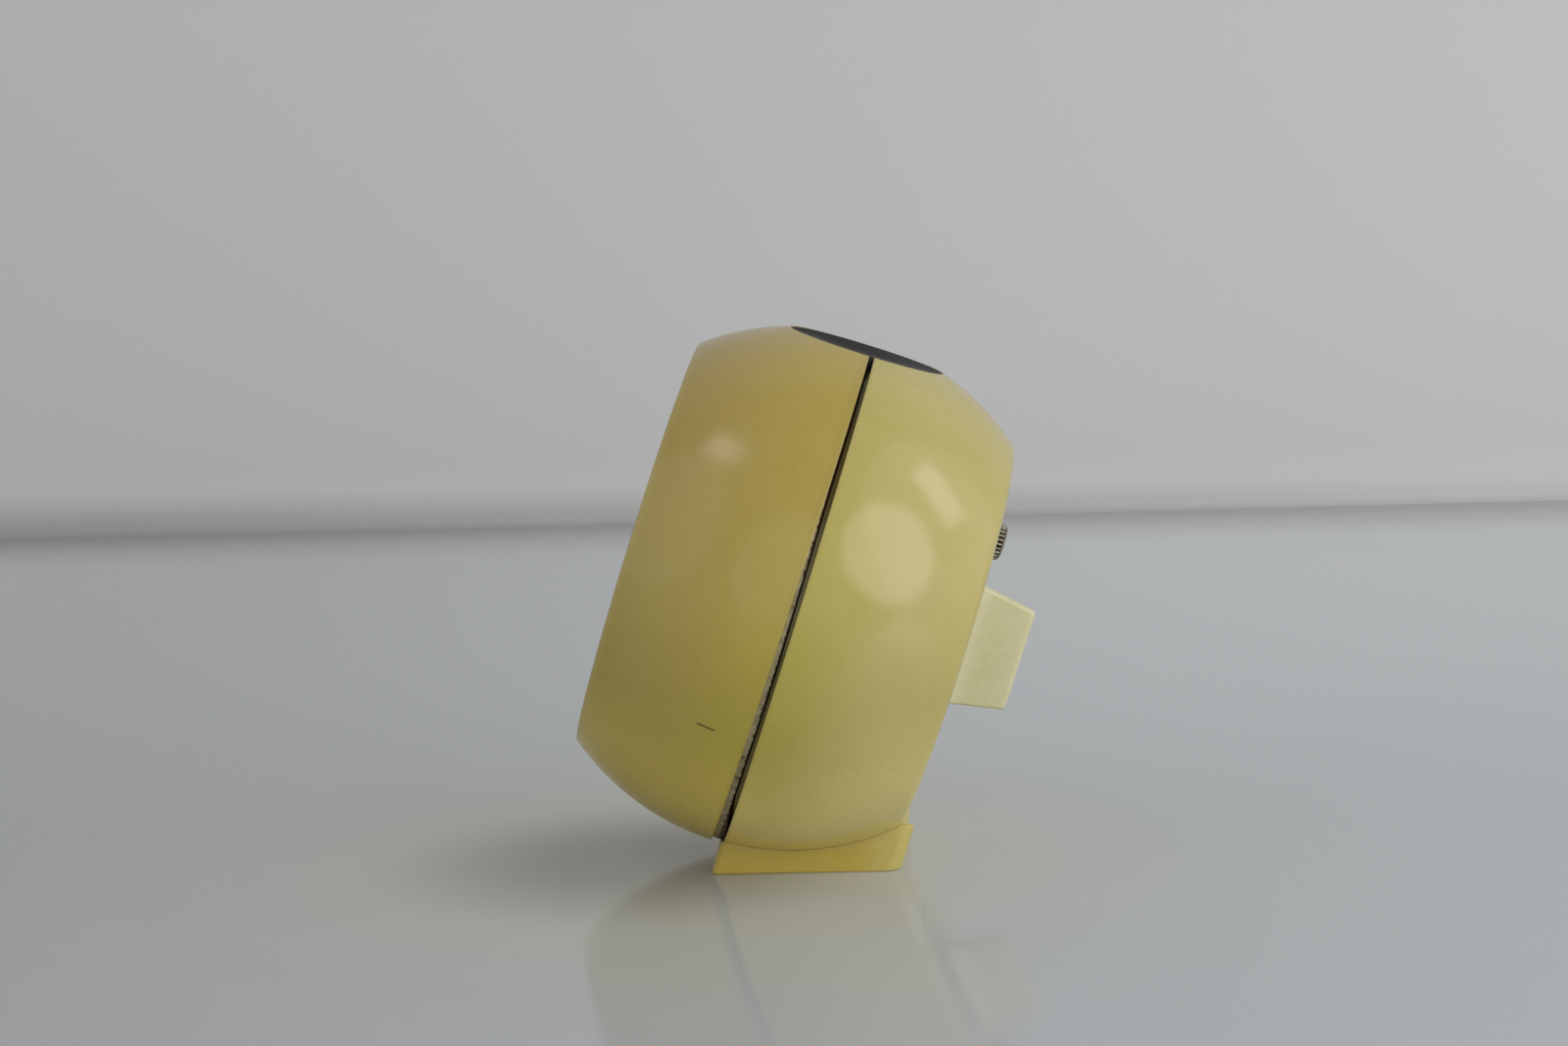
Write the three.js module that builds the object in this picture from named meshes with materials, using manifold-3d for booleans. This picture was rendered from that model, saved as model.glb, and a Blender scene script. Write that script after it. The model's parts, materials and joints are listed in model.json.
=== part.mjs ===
// Spring-driven kitchen timer: a ball-shaped two-shell case leaning back on a wedge foot, with a
// recessed 60-minute dial in front, a round stop button in the flat on top, and a winding key and a
// knurled setting knob at the back. The clockwork inside drives one pointer, a bell and a hammer.
// Units are millimetres. +Z is up, the dial faces -Y, and the origin is the centre of the foot's
// resting face. Everything but the foot is laid out in the case's own frame: centre of the ball at
// (0, 0, 0), Y along the case's axis from dial to back, Z towards the stop button.
import * as THREE from "three";
import { mergeVertices } from "three/addons/utils/BufferGeometryUtils.js";
import Module from "manifold-3d";

const wasm = await Module();
wasm.setup();

// ---------------------------------------------------------------- driving dimensions
const BALL_R = 46; // outer radius of the ball
const WALL = 2.2; // shell thickness
const FRONT_Y = -28.2; // plane of the front rim
const REAR_Y = 29.7; // plane of the flat back
const LEAN_DEG = 18.66; // how far the case leans back
const BALL_Z = 46.95; // height of the ball's centre over the table
const BALL_Y = -1.6; // ball's centre, in front of the foot's centre
const TOP_Z = 43.85; // plane of the flat on top
const SEAM_REAR_Y = 1.4; // front edge of the rear shell
const SEAM_FRONT_TOP_Y = 0.55; // rear edge of the front shell, at the top
const SEAM_FRONT_BOTTOM_Y = -0.75; // and at the bottom: the gap opens downwards
const OPEN_R = 33.5; // front opening
const BUTTON_R = 13.55; // stop button
const BUTTON_HOLE_R = 13.8;
const BUTTON_TRAVEL = 2.0;
const FOOT_HALF_W = 16.6;
const FOOT_FRONT = 1.0; // foot's front face, in the case's frame
const FOOT_REAR = 31.95; // foot's rear face
const FOOT_TOP_Z = 7.9;
const FOOT_SCOOP_R = 34.2; // scoop in the foot's rear lip, about the case's axis
const KEY_TIP_Y = 41.8;
const KEY_BASE_W = 21.2;
const KEY_TIP_W = 17.6;
const SET = [0, 18.6]; // setting arbor, x and z
const SET_KNOB_R = 3.25;
const SET_R = 0.95; // setting arbor
const PIPE_R = 1.5; // pipe of the hour wheel
const GAP = 0.12; // air between fixed pieces that touch
const RUN = 0.12; // radial running clearance of the arbors

// gear train: module and tooth numbers
const T_GREAT = 48, T_HOUR_PINION = 12, T_WHEEL = 40, T_PINION = 8, T_POINTER = 30, T_ESCAPE = 15, T_RATCHET = 18;
const M1 = (2 * 18.6) / (T_GREAT + T_HOUR_PINION); // great wheel and hour pinion
const MT = (2 * 14) / (T_WHEEL + T_PINION); // rest of the train
const MP = 18.6 / T_POINTER; // pointer drive

const rad = (d) => (d * Math.PI) / 180;
const polar = (c, r, deg) => [c[0] + r * Math.cos(rad(deg)), c[1] + r * Math.sin(rad(deg))];
const HOUR = SET;
const THIRD = polar(HOUR, 14, -30);
const FOURTH = polar(THIRD, 14, -70);
const ESCAPE = polar(FOURTH, 14, -130);
const PALLET = polar(ESCAPE, 9.6, 200);
const BALANCE = [-13.2, -14.6];
const HAMMER = [-19, 9.5];
const CASE_BOSSES = [polar([0, 0], 30.2, 270), polar([0, 0], 30.2, 160), polar([0, 0], 30.2, 20)];
const MOVT_POSTS = [polar([0, 0], 36.8, 60), polar([0, 0], 36.8, 186), polar([0, 0], 36.8, 310)];
const PILLARS = [polar([0, 0], 26.4, 138), polar([0, 0], 26.4, 200), polar([0, 0], 26.4, 315)];
const BRIDGE_PILLARS = [polar([0, 0], 20.4, 15), polar([0, 0], 20.4, 185), polar([0, 0], 20.4, 270)];
const BELL_POSTS = [polar([0, 0], 15.2, 218), polar([0, 0], 15.2, 322)];

// y layers of the clockwork
const FRONT_PLATE = [-12, -10.8];
const MIDDLE_PLATE = [6, 7.2];
const BRIDGE = [15.8, 17.0];

// ---------------------------------------------------------------- materials
const mat = (color, roughness, metalness, more = {}) => new THREE.MeshStandardMaterial({ color, roughness, metalness, ...more });
const SHELL_MAT = mat(0xc9b878, 0.35, 0);
const KEY_MAT = mat(0xded9ac, 0.4, 0);
const FOOT_MAT = mat(0xd9bc5c, 0.4, 0);
const BLACK_MAT = mat(0x17181a, 0.35, 0);
const DIAL_MAT = mat(0xefe9d2, 0.6, 0);
const POINTER_MAT = mat(0xd4541c, 0.45, 0);
const LENS_MAT = mat(0xf4f6f6, 0.05, 0, { transparent: true, opacity: 0.25 });
const NICKEL_MAT = mat(0x8d8873, 0.4, 1);
const BRASS_MAT = mat(0xc2a254, 0.35, 1);
const STEEL_MAT = mat(0xa9abad, 0.3, 1);
const SPRING_MAT = mat(0x50565c, 0.3, 1);

// ---------------------------------------------------------------- solids
function solid(geometry) {
  const g = geometry.clone();
  for (const a of ["normal", "uv", "uv1", "color"]) g.deleteAttribute(a);
  const m = mergeVertices(g, 1e-4);
  const idx = m.index.array;
  const tri = [];
  for (let i = 0; i < idx.length; i += 3)
    if (idx[i] !== idx[i + 1] && idx[i + 1] !== idx[i + 2] && idx[i] !== idx[i + 2]) tri.push(idx[i], idx[i + 1], idx[i + 2]);
  const make = (t) => new wasm.Manifold(new wasm.Mesh({ numProp: 3, vertProperties: m.attributes.position.array, triVerts: new Uint32Array(t) }));
  let s = make(tri);
  if (s.volume() < 0) {
    for (let i = 0; i < tri.length; i += 3) [tri[i + 1], tri[i + 2]] = [tri[i + 2], tri[i + 1]];
    s = make(tri);
  }
  return s;
}
function toGeometry(s) {
  const m = s.getMesh();
  const v = new Float32Array(m.numVert * 3);
  for (let i = 0; i < m.numVert; i++) v.set(m.vertProperties.subarray(i * m.numProp, i * m.numProp + 3), i * 3);
  const g = new THREE.BufferGeometry().setAttribute("position", new THREE.BufferAttribute(v, 3));
  g.setIndex(new THREE.BufferAttribute(new Uint32Array(m.triVerts), 1));
  g.computeVertexNormals();
  return g;
}
// A profile of [radius, y] points turned about the case's axis, or about a parallel axis through at = [x, z].
function turned(points, segments = 24, at = [0, 0], phase = 0) {
  const g = new THREE.LatheGeometry(points.concat([points[0]]).map(([r, y]) => new THREE.Vector2(r, y)), segments);
  g.rotateY(phase);
  g.translate(at[0], 0, at[1]);
  return solid(g);
}
const rod = (at, r, y0, y1, segments = 16) => turned([[0, y0], [r, y0], [r, y1], [0, y1]], segments, at);
const tube = (at, r, bore, y0, y1, segments = 16) => turned([[bore, y0], [r, y0], [r, y1], [bore, y1]], segments, at);
// A flat piece: outline points [x, z], between two y planes.
function plate(points, y0, y1, holes = []) {
  const s = new THREE.Shape(points.map(([x, z]) => new THREE.Vector2(x, z)));
  for (const h of holes) s.holes.push(new THREE.Path(h.map(([x, z]) => new THREE.Vector2(x, z))));
  const g = new THREE.ExtrudeGeometry(s, { depth: y1 - y0, bevelEnabled: false, steps: 1 });
  g.rotateX(Math.PI / 2);
  g.translate(0, y1, 0);
  return solid(g);
}
const ring = (at, r, n = 20, turn = 0) => Array.from({ length: n }, (_, i) => [at[0] + r * Math.cos((2 * Math.PI * i) / n + turn), at[1] + r * Math.sin((2 * Math.PI * i) / n + turn)]);
function box(x0, x1, y0, y1, z0, z1) {
  const g = new THREE.BoxGeometry(x1 - x0, y1 - y0, z1 - z0);
  g.translate((x0 + x1) / 2, (y0 + y1) / 2, (z0 + z1) / 2);
  return solid(g);
}
// A toothed wheel about at, with one tooth pointing at the angle aim (degrees, from +X towards +Z).
function gearOutline(at, teeth, module, aim, { add = 0.72, ded = 1.1, half = 0.15 } = {}) {
  const r = (teeth * module) / 2, p = (2 * Math.PI) / teeth, out = [];
  const [ra, rf] = [r + add * module, r - ded * module];
  for (let i = 0; i < teeth; i++) {
    const a = rad(aim) + i * p;
    for (const [rr, k] of [[rf, -0.5], [ra, -half * 0.6], [ra, half * 0.6]]) out.push([at[0] + rr * Math.cos(a + k * p), at[1] + rr * Math.sin(a + k * p)]);
  }
  return out;
}
// The aim that puts a gap of this wheel where a mate's tooth points.
const gapAim = (teeth, towards) => towards + 180 / teeth;
const angleTo = (a, b) => (Math.atan2(b[1] - a[1], b[0] - a[0]) * 180) / Math.PI;
// A thin bar bent along a list of points [x, z], of width w, between two y planes.
function strip(points, w, y0, y1) {
  const left = [], right = [];
  points.forEach((p, i) => {
    const a = points[Math.max(0, i - 1)], b = points[Math.min(points.length - 1, i + 1)];
    const d = Math.hypot(b[0] - a[0], b[1] - a[1]), n = [-(b[1] - a[1]) / d, (b[0] - a[0]) / d];
    left.push([p[0] + (n[0] * w) / 2, p[1] + (n[1] * w) / 2]);
    right.unshift([p[0] - (n[0] * w) / 2, p[1] - (n[1] * w) / 2]);
  });
  return plate(left.concat(right), y0, y1);
}
const join = (...s) => s.reduce((a, b) => a.add(b));
const cut = (s, ...others) => others.reduce((a, b) => a.subtract(b), s);

// A cylinder along the case's Z.
function upright(r, z0, z1, segments = 32, x = 0, y = 0, bore = 0) {
  const g = new THREE.LatheGeometry((bore ? [[bore, z0], [r, z0], [r, z1], [bore, z1], [bore, z0]] : [[0, z0], [r, z0], [r, z1], [0, z1], [0, z0]]).map(([a, b]) => new THREE.Vector2(a, b)), segments);
  g.rotateX(Math.PI / 2); // y to z
  g.translate(x, y, 0);
  return solid(g);
}
// From the table's frame to the case's frame.
const toCase = new THREE.Matrix4().makeRotationX(-rad(LEAN_DEG)).setPosition(0, BALL_Y, BALL_Z).invert();
function tableRod(x, y, z0, z1, r, segments = 12) {
  const g = new THREE.CylinderGeometry(r, r, z1 - z0, segments);
  g.rotateX(Math.PI / 2);
  g.translate(x, y, (z0 + z1) / 2);
  g.applyMatrix4(toCase);
  return solid(g);
}

// ---------------------------------------------------------------- scene graph
const timer = new THREE.Group();
const caseFrame = new THREE.Group();
caseFrame.position.set(0, BALL_Y, BALL_Z);
caseFrame.rotation.x = -rad(LEAN_DEG);
timer.add(caseFrame);
function piece(name, s, material, parent = caseFrame) {
  const m = new THREE.Mesh(toGeometry(s), material);
  m.name = name;
  parent.add(m);
  return m;
}

// ---------------------------------------------------------------- case
const arc = (r, y0, y1, n) => Array.from({ length: n + 1 }, (_, i) => { const y = y0 + ((y1 - y0) * i) / n; return [Math.sqrt(r * r - y * y), y]; });
const INNER_R = BALL_R - WALL;
const SEG = 48;
const buttonHole = upright(BUTTON_HOLE_R, 34, 60, 36);
const topCut = box(-30, 30, -30, 30, TOP_Z, 60);

// front shell: outside of the ball from the rim to the seam, with a spigot that enters the rear shell
let frontCase = turned([...arc(BALL_R, FRONT_Y, 2, 5), ...arc(INNER_R, 2, -24.6, 4), [OPEN_R, -26.4], [OPEN_R, FRONT_Y]], SEG);
{
  // the rear edge leans a little, so the seam is wider at the bottom
  const tilt = Math.atan2(SEAM_FRONT_TOP_Y - SEAM_FRONT_BOTTOM_Y, 2 * BALL_R);
  const g = new THREE.BoxGeometry(120, 40, 120);
  g.translate(0, 20, 0);
  g.rotateX(tilt);
  g.translate(0, (SEAM_FRONT_TOP_Y + SEAM_FRONT_BOTTOM_Y) / 2, 0);
  frontCase = frontCase.subtract(solid(g));
  const spigot = turned([[INNER_R + 0.6, -4], [INNER_R + 0.6, 0.2], [INNER_R - 0.45, 0.9], [INNER_R - 0.45, 5.2], [INNER_R - 1.7, 5.2], [INNER_R - 1.7, -4]], SEG);
  frontCase = frontCase.add(spigot);
}
const BOSS_R = 2.6;
const inBall = turned([[0, -27], ...arc(BALL_R - 1, -27, 9, 6), [0, 9]], SEG);
for (const b of CASE_BOSSES) frontCase = frontCase.add(join(rod(b, BOSS_R, -9, 8.8, 12), strip([b, polar([0, 0], 46, angleTo([0, 0], b))], 2.0, -9, -1.2).intersect(inBall), strip([b, polar([0, 0], 41.6, angleTo([0, 0], b))], 2.0, -1.3, 8.8)));
for (const b of CASE_BOSSES) frontCase = frontCase.subtract(rod(b, 1.25, -8, 12, 10));
for (const b of MOVT_POSTS) frontCase = frontCase.add(rod(b, 2.5, -27, FRONT_PLATE[0] - GAP, 12).intersect(inBall));
for (const b of MOVT_POSTS) frontCase = frontCase.subtract(rod(b, 1.0, -22, -8, 8));
frontCase = frontCase.subtract(rod([0, 0], OPEN_R, -40, -26.4, SEG)).subtract(rod([0, 0], 34.0, -27, -12, SEG));
frontCase = cut(frontCase, topCut, buttonHole, upright(15.25, 34, 40.9, 28));
piece("front_case", frontCase, SHELL_MAT);

// rear shell: from the seam to the flat back
const REAR_FACE_R = 33.0;
let rearCase = turned([...arc(BALL_R, SEAM_REAR_Y, 26.6, 5), [36.6, 27.75], [35.0, 29.2], [REAR_FACE_R, REAR_Y], [0, REAR_Y], [0, REAR_Y - WALL], [31.2, REAR_Y - WALL], ...arc(INNER_R, 27.0, SEAM_REAR_Y, 4)], SEG);
for (const b of CASE_BOSSES) rearCase = rearCase.add(rod(b, BOSS_R, 9.1, 28, 12));
for (const b of CASE_BOSSES) rearCase = cut(rearCase, rod(b, 1.5, 8, 31, 10), rod(b, 2.5, 27.3, 31, 14));
rearCase = cut(rearCase, rod([0, 0], 4.4, 24, 31, 24), rod(SET, 1.9, 24, 31, 16));
// sound slots under the key, over the bell
for (let row = 0; row < 4; row++) {
  const z = -11.5 - row * 4.0, half = Math.min(12.5, Math.sqrt(24.5 ** 2 - z * z) - 2);
  rearCase = rearCase.subtract(box(-half, half, 26, 31, z - 0.85, z + 0.85));
}
const FOOT_SCREWS = [[-11.5, 3.2], [11.5, 3.2]]; // x, y in the table's frame
for (const [x, y] of FOOT_SCREWS) rearCase = rearCase.subtract(tableRod(x, y, -1, 12, 1.2));
rearCase = cut(rearCase, topCut, buttonHole);
piece("rear_case", rearCase, SHELL_MAT);

// foot: a wedge that carries the rear shell
{
  const t = rad(LEAN_DEG);
  const corner = (yb, z) => [BALL_Y + (yb + (z - BALL_Z) * Math.sin(t)) / Math.cos(t), z]; // the point of plane y = yb in the case's frame, at height z
  const y0 = (yb, z) => { // y in the table's frame, of the case plane y = yb at height z
    // yb = (y - BALL_Y) cos t - (z - BALL_Z) sin t
    return BALL_Y + (yb + (z - BALL_Z) * Math.sin(t)) / Math.cos(t);
  };
  const r = 2.6;
  // outline in plan, rounded at the rear corners
  const top = FOOT_TOP_Z, profile = [[y0(FOOT_FRONT, 0), 0], [y0(FOOT_REAR, 0), 0], [y0(FOOT_REAR, top), top], [y0(FOOT_FRONT, top), top]];
  const s = new THREE.Shape(profile.map(([y, z]) => new THREE.Vector2(y, z)));
  const g = new THREE.ExtrudeGeometry(s, { depth: 2 * FOOT_HALF_W, bevelEnabled: false, steps: 1 });
  // shape x, y, z to y, z, x
  g.applyMatrix4(new THREE.Matrix4().makeBasis(new THREE.Vector3(0, 1, 0), new THREE.Vector3(0, 0, 1), new THREE.Vector3(1, 0, 0)));
  g.translate(-FOOT_HALF_W, 0, 0);
  let foot = solid(g);
  // round the upright corners with a leaning prism
  const w = FOOT_HALF_W, plan = [];
  const corners = [[w - r, FOOT_REAR - r, 0], [-(w - r), FOOT_REAR - r, 90], [-(w - 1), FOOT_FRONT + 1, 180], [w - 1, FOOT_FRONT + 1, 270]];
  for (const [x, y, a0] of corners) {
    const rr = a0 >= 180 ? 1 : r;
    for (let k = 0; k <= 4; k++) plan.push([x + rr * Math.cos(rad(a0 + (90 * k) / 4)), y + rr * Math.sin(rad(a0 + (90 * k) / 4))]);
  }
  const pg = new THREE.ExtrudeGeometry(new THREE.Shape(plan.map(([x, y]) => new THREE.Vector2(x, y))), { depth: 80, bevelEnabled: false, steps: 1 });
  pg.translate(0, 0, -80);
  pg.applyMatrix4(new THREE.Matrix4().copy(toCase).invert());
  foot = foot.intersect(solid(pg));
  // seat for the ball
  const seat = turned([[0, -10], ...arc(BALL_R + GAP + 0.08, -10, REAR_Y - 3.5, 12), [36.9, REAR_Y - 1.6], [35.3, REAR_Y + 0.1], [34, REAR_Y + 0.2], [0, REAR_Y + 0.2]], 96);
  foot = foot.subtract(seat.transform([...new THREE.Matrix4().copy(toCase).invert().elements]));
  // the rear lip is scooped out concentric with the back, which frees the lowest case screw
  foot = foot.subtract(rod([0, 0], FOOT_SCOOP_R, 28, 35, 96).transform([...new THREE.Matrix4().copy(toCase).invert().elements]));
  for (const [x, y] of FOOT_SCREWS) {
    const c = new THREE.CylinderGeometry(0.95, 0.95, 12, 10);
    c.rotateX(Math.PI / 2);
    c.translate(x, y, 7.3);
    foot = foot.subtract(solid(c));
  }
  piece("foot", foot, FOOT_MAT, timer);
  for (const [i, [x, y]] of FOOT_SCREWS.entries()) {
    // the head lies inside the shell
    const zHead = BALL_Z - Math.sqrt((INNER_R - 0.4) ** 2 - x * x - (y - BALL_Y) ** 2) + 0.55;
    const g1 = new THREE.LatheGeometry([[0, 1.6], [0.8, 1.6], [0.8, zHead], [2.2, zHead], [2.2, zHead + 0.9], [1.5, zHead + 1.5], [0, zHead + 1.5], [0, 1.6]].map(([a, b]) => new THREE.Vector2(a, b)), 12);
    g1.rotateX(Math.PI / 2);
    g1.translate(x, y, 0);
    // turned about X, the profile's y becomes z, and it stays upright
    piece(["foot_screw_left", "foot_screw_right"][i], solid(g1), STEEL_MAT, timer);
  }
}
for (const [i, b] of CASE_BOSSES.entries())
  piece(["case_screw_bottom", "case_screw_left", "case_screw_right"][i],
    cut(turned([[0, -6], [1.1, -6], [1.1, 27.45], [2.25, 27.45], [2.25, 28.5], [1.6, 29.1], [0, 29.1]], 12, b), box(b[0] - 3, b[0] + 3, 28.5, 30, b[1] - 0.3, b[1] + 0.3)), STEEL_MAT);

// ---------------------------------------------------------------- dial side
piece("bezel_ring", turned([[30.6, -27.6], [33.2, -27.6], [33.2, -15.2], [32.3, -15.2], [32.3, -26.1], [30.6, -26.5]], SEG), BLACK_MAT);
piece("lens", turned([[0, -25.9], [32.1, -25.9], [32.1, -24.5], [0, -24.5]], SEG), LENS_MAT);
piece("dial_spacer", turned([[31.2, -24.3], [32.1, -24.3], [32.1, -16.8], [29.2, -16.8]], SEG), BLACK_MAT);
piece("dial", tube([0, 0], 32.1, 2.6, -16.6, -15.8, SEG), DIAL_MAT);

// pointer and its arbor, at 0 minutes
{
  const y0 = -19.1, y1 = -18.3;
  const blade = plate([[-1.7, -7.6], [1.7, -7.6], [1.15, 0], [0.45, 24.4], [0, 25.4], [-0.45, 24.4], [-1.15, 0]], y0, y1);
  const hub = turned([[0, y0 - 1.7], [2.2, y0 - 1.7], [3.4, y0 - 0.9], [3.6, y1 + 0.5], [1.02, y1 + 0.5], [1.02, y0 - 0.3], [0, y0 - 0.3]], 20);
  piece("pointer", join(blade.subtract(rod([0, 0], 2, -20, -17, 20)), hub), POINTER_MAT);
  const towards = angleTo([0, 0], SET);
  piece("pointer_arbor", join(rod([0, 0], 0.9, y0 - 0.2, -8.4, 12), turned([[0, -17.2], [2.0, -17.2], [2.0, -13.4], [0, -13.4]], 14)), STEEL_MAT);
  const wheel = plate(gearOutline([0, 0], T_POINTER, MP, towards), -14.8, -13.9, [ring([0, 0], 2.12, 14)]);
  piece("pointer_wheel", wheel, BRASS_MAT);
}

// ---------------------------------------------------------------- plates, pillars and screws
const hole = (at, r, n = 14) => rod(at, r, -20, 40, n);
const STOP = [-10.5, 27.2]; // stop lever's pivot
let frontPlate = join(rod([0, 0], 28.6, ...FRONT_PLATE, 28), rod(STOP, 3.2, ...FRONT_PLATE, 12), rod([0, 0], 2.6, FRONT_PLATE[0], -8.2, 14));
for (const b of MOVT_POSTS) frontPlate = frontPlate.add(rod(b, 2.7, ...FRONT_PLATE, 12)).add(strip([polar([0, 0], 25, angleTo([0, 0], b)), b], 5.0, ...FRONT_PLATE));
frontPlate = cut(frontPlate, hole([0, 0], 0.9 + RUN), hole(STOP, 0.6 + RUN, 8), hole(HOUR, SET_R + RUN), hole(THIRD, 0.5 + RUN, 8), hole(FOURTH, 0.5 + RUN, 8), hole(ESCAPE, 0.5 + RUN, 8), hole(PALLET, 0.5 + RUN, 8), hole(BALANCE, 0.5 + RUN, 8), hole(HAMMER, 0.8 + RUN, 8));
for (const b of MOVT_POSTS) frontPlate = frontPlate.subtract(hole(b, 1.15, 10));
for (const b of CASE_BOSSES) frontPlate = frontPlate.subtract(rod(b, BOSS_R + 0.3, -13, 9, 12));
piece("front_plate", frontPlate, BRASS_MAT);
let middlePlate = join(rod([0, 0], 28.6, ...MIDDLE_PLATE, 28), rod(STOP, 3.2, ...MIDDLE_PLATE, 12));
middlePlate = cut(middlePlate, hole([0, 0], 1.6 + RUN), hole(STOP, 0.6 + RUN, 8), hole(HOUR, PIPE_R + RUN, 14), hole(THIRD, 0.5 + RUN, 8), hole(FOURTH, 0.5 + RUN, 8), hole(ESCAPE, 0.5 + RUN, 8), hole(PALLET, 0.5 + RUN, 8), hole(BALANCE, 0.5 + RUN, 8), hole(HAMMER, 0.8 + RUN, 8));
for (const b of CASE_BOSSES) middlePlate = middlePlate.subtract(rod(b, BOSS_R + 0.3, -13, 9, 12));
piece("middle_plate", middlePlate, BRASS_MAT);
let bridge = join(rod([0, 0], 18.2, ...BRIDGE, 24), rod(HOUR, 4.2, ...BRIDGE, 16));
for (const b of BRIDGE_PILLARS) bridge = bridge.add(rod(b, 3.0, ...BRIDGE, 14));
bridge = cut(bridge, hole([0, 0], 1.6 + RUN), hole(HOUR, SET_R + RUN));
piece("barrel_bridge", bridge, BRASS_MAT);
const names4 = ["pillar_upper", "pillar_left", "pillar_right"];
for (const [i, b] of PILLARS.entries()) piece(names4[i], rod(b, 1.7, FRONT_PLATE[1] + GAP, MIDDLE_PLATE[0] - GAP, 12), BRASS_MAT);
const names3 = ["bridge_pillar_right", "bridge_pillar_left", "bridge_pillar_bottom"];
for (const [i, b] of BRIDGE_PILLARS.entries()) piece(names3[i], rod(b, 1.6, MIDDLE_PLATE[1] + GAP, BRIDGE[0] - GAP, 12), BRASS_MAT);
const namesM = ["movement_screw_upper", "movement_screw_left", "movement_screw_lower"];
for (const [i, b] of MOVT_POSTS.entries()) piece(namesM[i], turned([[0, -18], [0.85, -18], [0.85, -10.65], [2.1, -10.65], [2.1, -9.7], [1.4, -9.2], [0, -9.2]], 10, b), STEEL_MAT);

// ---------------------------------------------------------------- mainspring, great wheel, winding
{
  const aim = angleTo([0, 0], HOUR);
  piece("great_wheel", plate(gearOutline([0, 0], T_GREAT, M1, aim), 8.0, 9.1, [ring([0, 0], 1.6 + RUN + 0.05, 14)]), BRASS_MAT);
  piece("mainspring_barrel", turned([[1.6 + RUN + 0.1, 9.2], [13.4, 9.2], [13.4, 14.9], [12.5, 14.9], [12.5, 10.1], [1.6 + RUN + 0.1, 10.1]], 32), BRASS_MAT);
  piece("barrel_lid", tube([0, 0], 12.3, 1.6 + RUN + 0.1, 14.1, 14.9, 32), BRASS_MAT);
  const coil = [];
  for (let i = 0; i <= 60; i++) {
    const a = (i / 60) * 4 * 2 * Math.PI, r = 3.0 + (12.0 - 3.0) * Math.pow(i / 60, 0.8);
    coil.push([r * Math.cos(a), r * Math.sin(a)]);
  }
  piece("mainspring", strip(coil, 0.45, 10.4, 13.8), SPRING_MAT);
  piece("winding_arbor", join(rod([0, 0], 1.6, 5.0, 33.5, 14), rod([0, 0], 2.4, 10.3, 13.9, 14)), STEEL_MAT);
  const r = 6.0, out = [];
  for (let i = 0; i < T_RATCHET; i++) {
    const a = (i * 2 * Math.PI) / T_RATCHET, p = (2 * Math.PI) / T_RATCHET;
    out.push([r * Math.cos(a), r * Math.sin(a)], [(r - 1.0) * Math.cos(a + 0.12 * p), (r - 1.0) * Math.sin(a + 0.12 * p)]);
  }
  piece("ratchet_wheel", plate(out, 17.4, 18.6, [ring([0, 0], 1.72, 14)]), STEEL_MAT);
  // pawl, on a stud of the bridge, its nose just clear of the ratchet's tips
  const P = [11.2, -3.2];
  piece("click_stud", rod(P, 1.0, BRIDGE[1] + GAP, 19.2, 10), STEEL_MAT);
  piece("click", cut(join(plate([[P[0] - 2.0, P[1] - 1.6], [P[0] + 2.0, P[1] - 1.6], [P[0] + 2.1, P[1] + 1.0], [8.1, 4.6], [6.3, 3.4], [P[0] - 2.3, P[1] + 0.8]], 17.4, 18.4)), hole(P, 1.0 + RUN, 12)), STEEL_MAT);
  piece("click_spring", strip([[15.2, -4.4], [14.9, -1.5], [13.6, 1.4], [11.4, 3.8], [9.3, 4.75]], 0.35, 17.5, 18.2), SPRING_MAT);
}
// winding key: hub and tapering grip, flared where it meets the collar
{
  const y = [30.9, 31.6, 32.6, 34.4, KEY_TIP_Y - 0.35, KEY_TIP_Y];
  const sections = [[3.6, KEY_BASE_W / 2 - 0.1], [3.5, KEY_BASE_W / 2], [2.9, KEY_BASE_W / 2 - 0.2], [1.9, KEY_BASE_W / 2 - 0.6], [1.6, KEY_TIP_W / 2 + 0.05], [1.3, KEY_TIP_W / 2 - 0.3]];
  const pts = [], idx = [];
  const n = 12;
  const outline = (hx, hz) => { const c = Math.min(hx * 0.45, 0.8), o = []; for (const [sx, sz] of [[1, 1], [-1, 1], [-1, -1], [1, -1]]) { const a = [sx * hx, sz * (hz - c)], b = [sx * (hx - c * 0.3), sz * (hz - c * 0.3)], d = [sx * (hx - c), sz * hz]; o.push(...(sx * sz > 0 ? [a, b, d] : [d, b, a])); } return o; };
  for (const [i, [hx, hz]] of sections.entries()) for (const [x, z] of outline(hx, hz)) pts.push(x, y[i], z);
  for (let i = 0; i < sections.length - 1; i++) for (let k = 0; k < n; k++) { const a = i * n + k, b = i * n + ((k + 1) % n), c = a + n, d = b + n; idx.push(a, b, c, b, d, c); }
  for (let k = 1; k < n - 1; k++) { idx.push(0, k + 1, k); const e = (sections.length - 1) * n; idx.push(e, e + k, e + k + 1); }
  const g = new THREE.BufferGeometry().setAttribute("position", new THREE.BufferAttribute(new Float32Array(pts), 3));
  g.setIndex(idx);
  let key = join(solid(g), turned([[0, 27.0], [3.9, 27.0], [3.9, 30.6], [3.6, 32], [0, 32]], 24));
  key = key.subtract(rod([0, 0], 1.7, 20, 33.7, 14));
  piece("winding_key", key, KEY_MAT);
}

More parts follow.
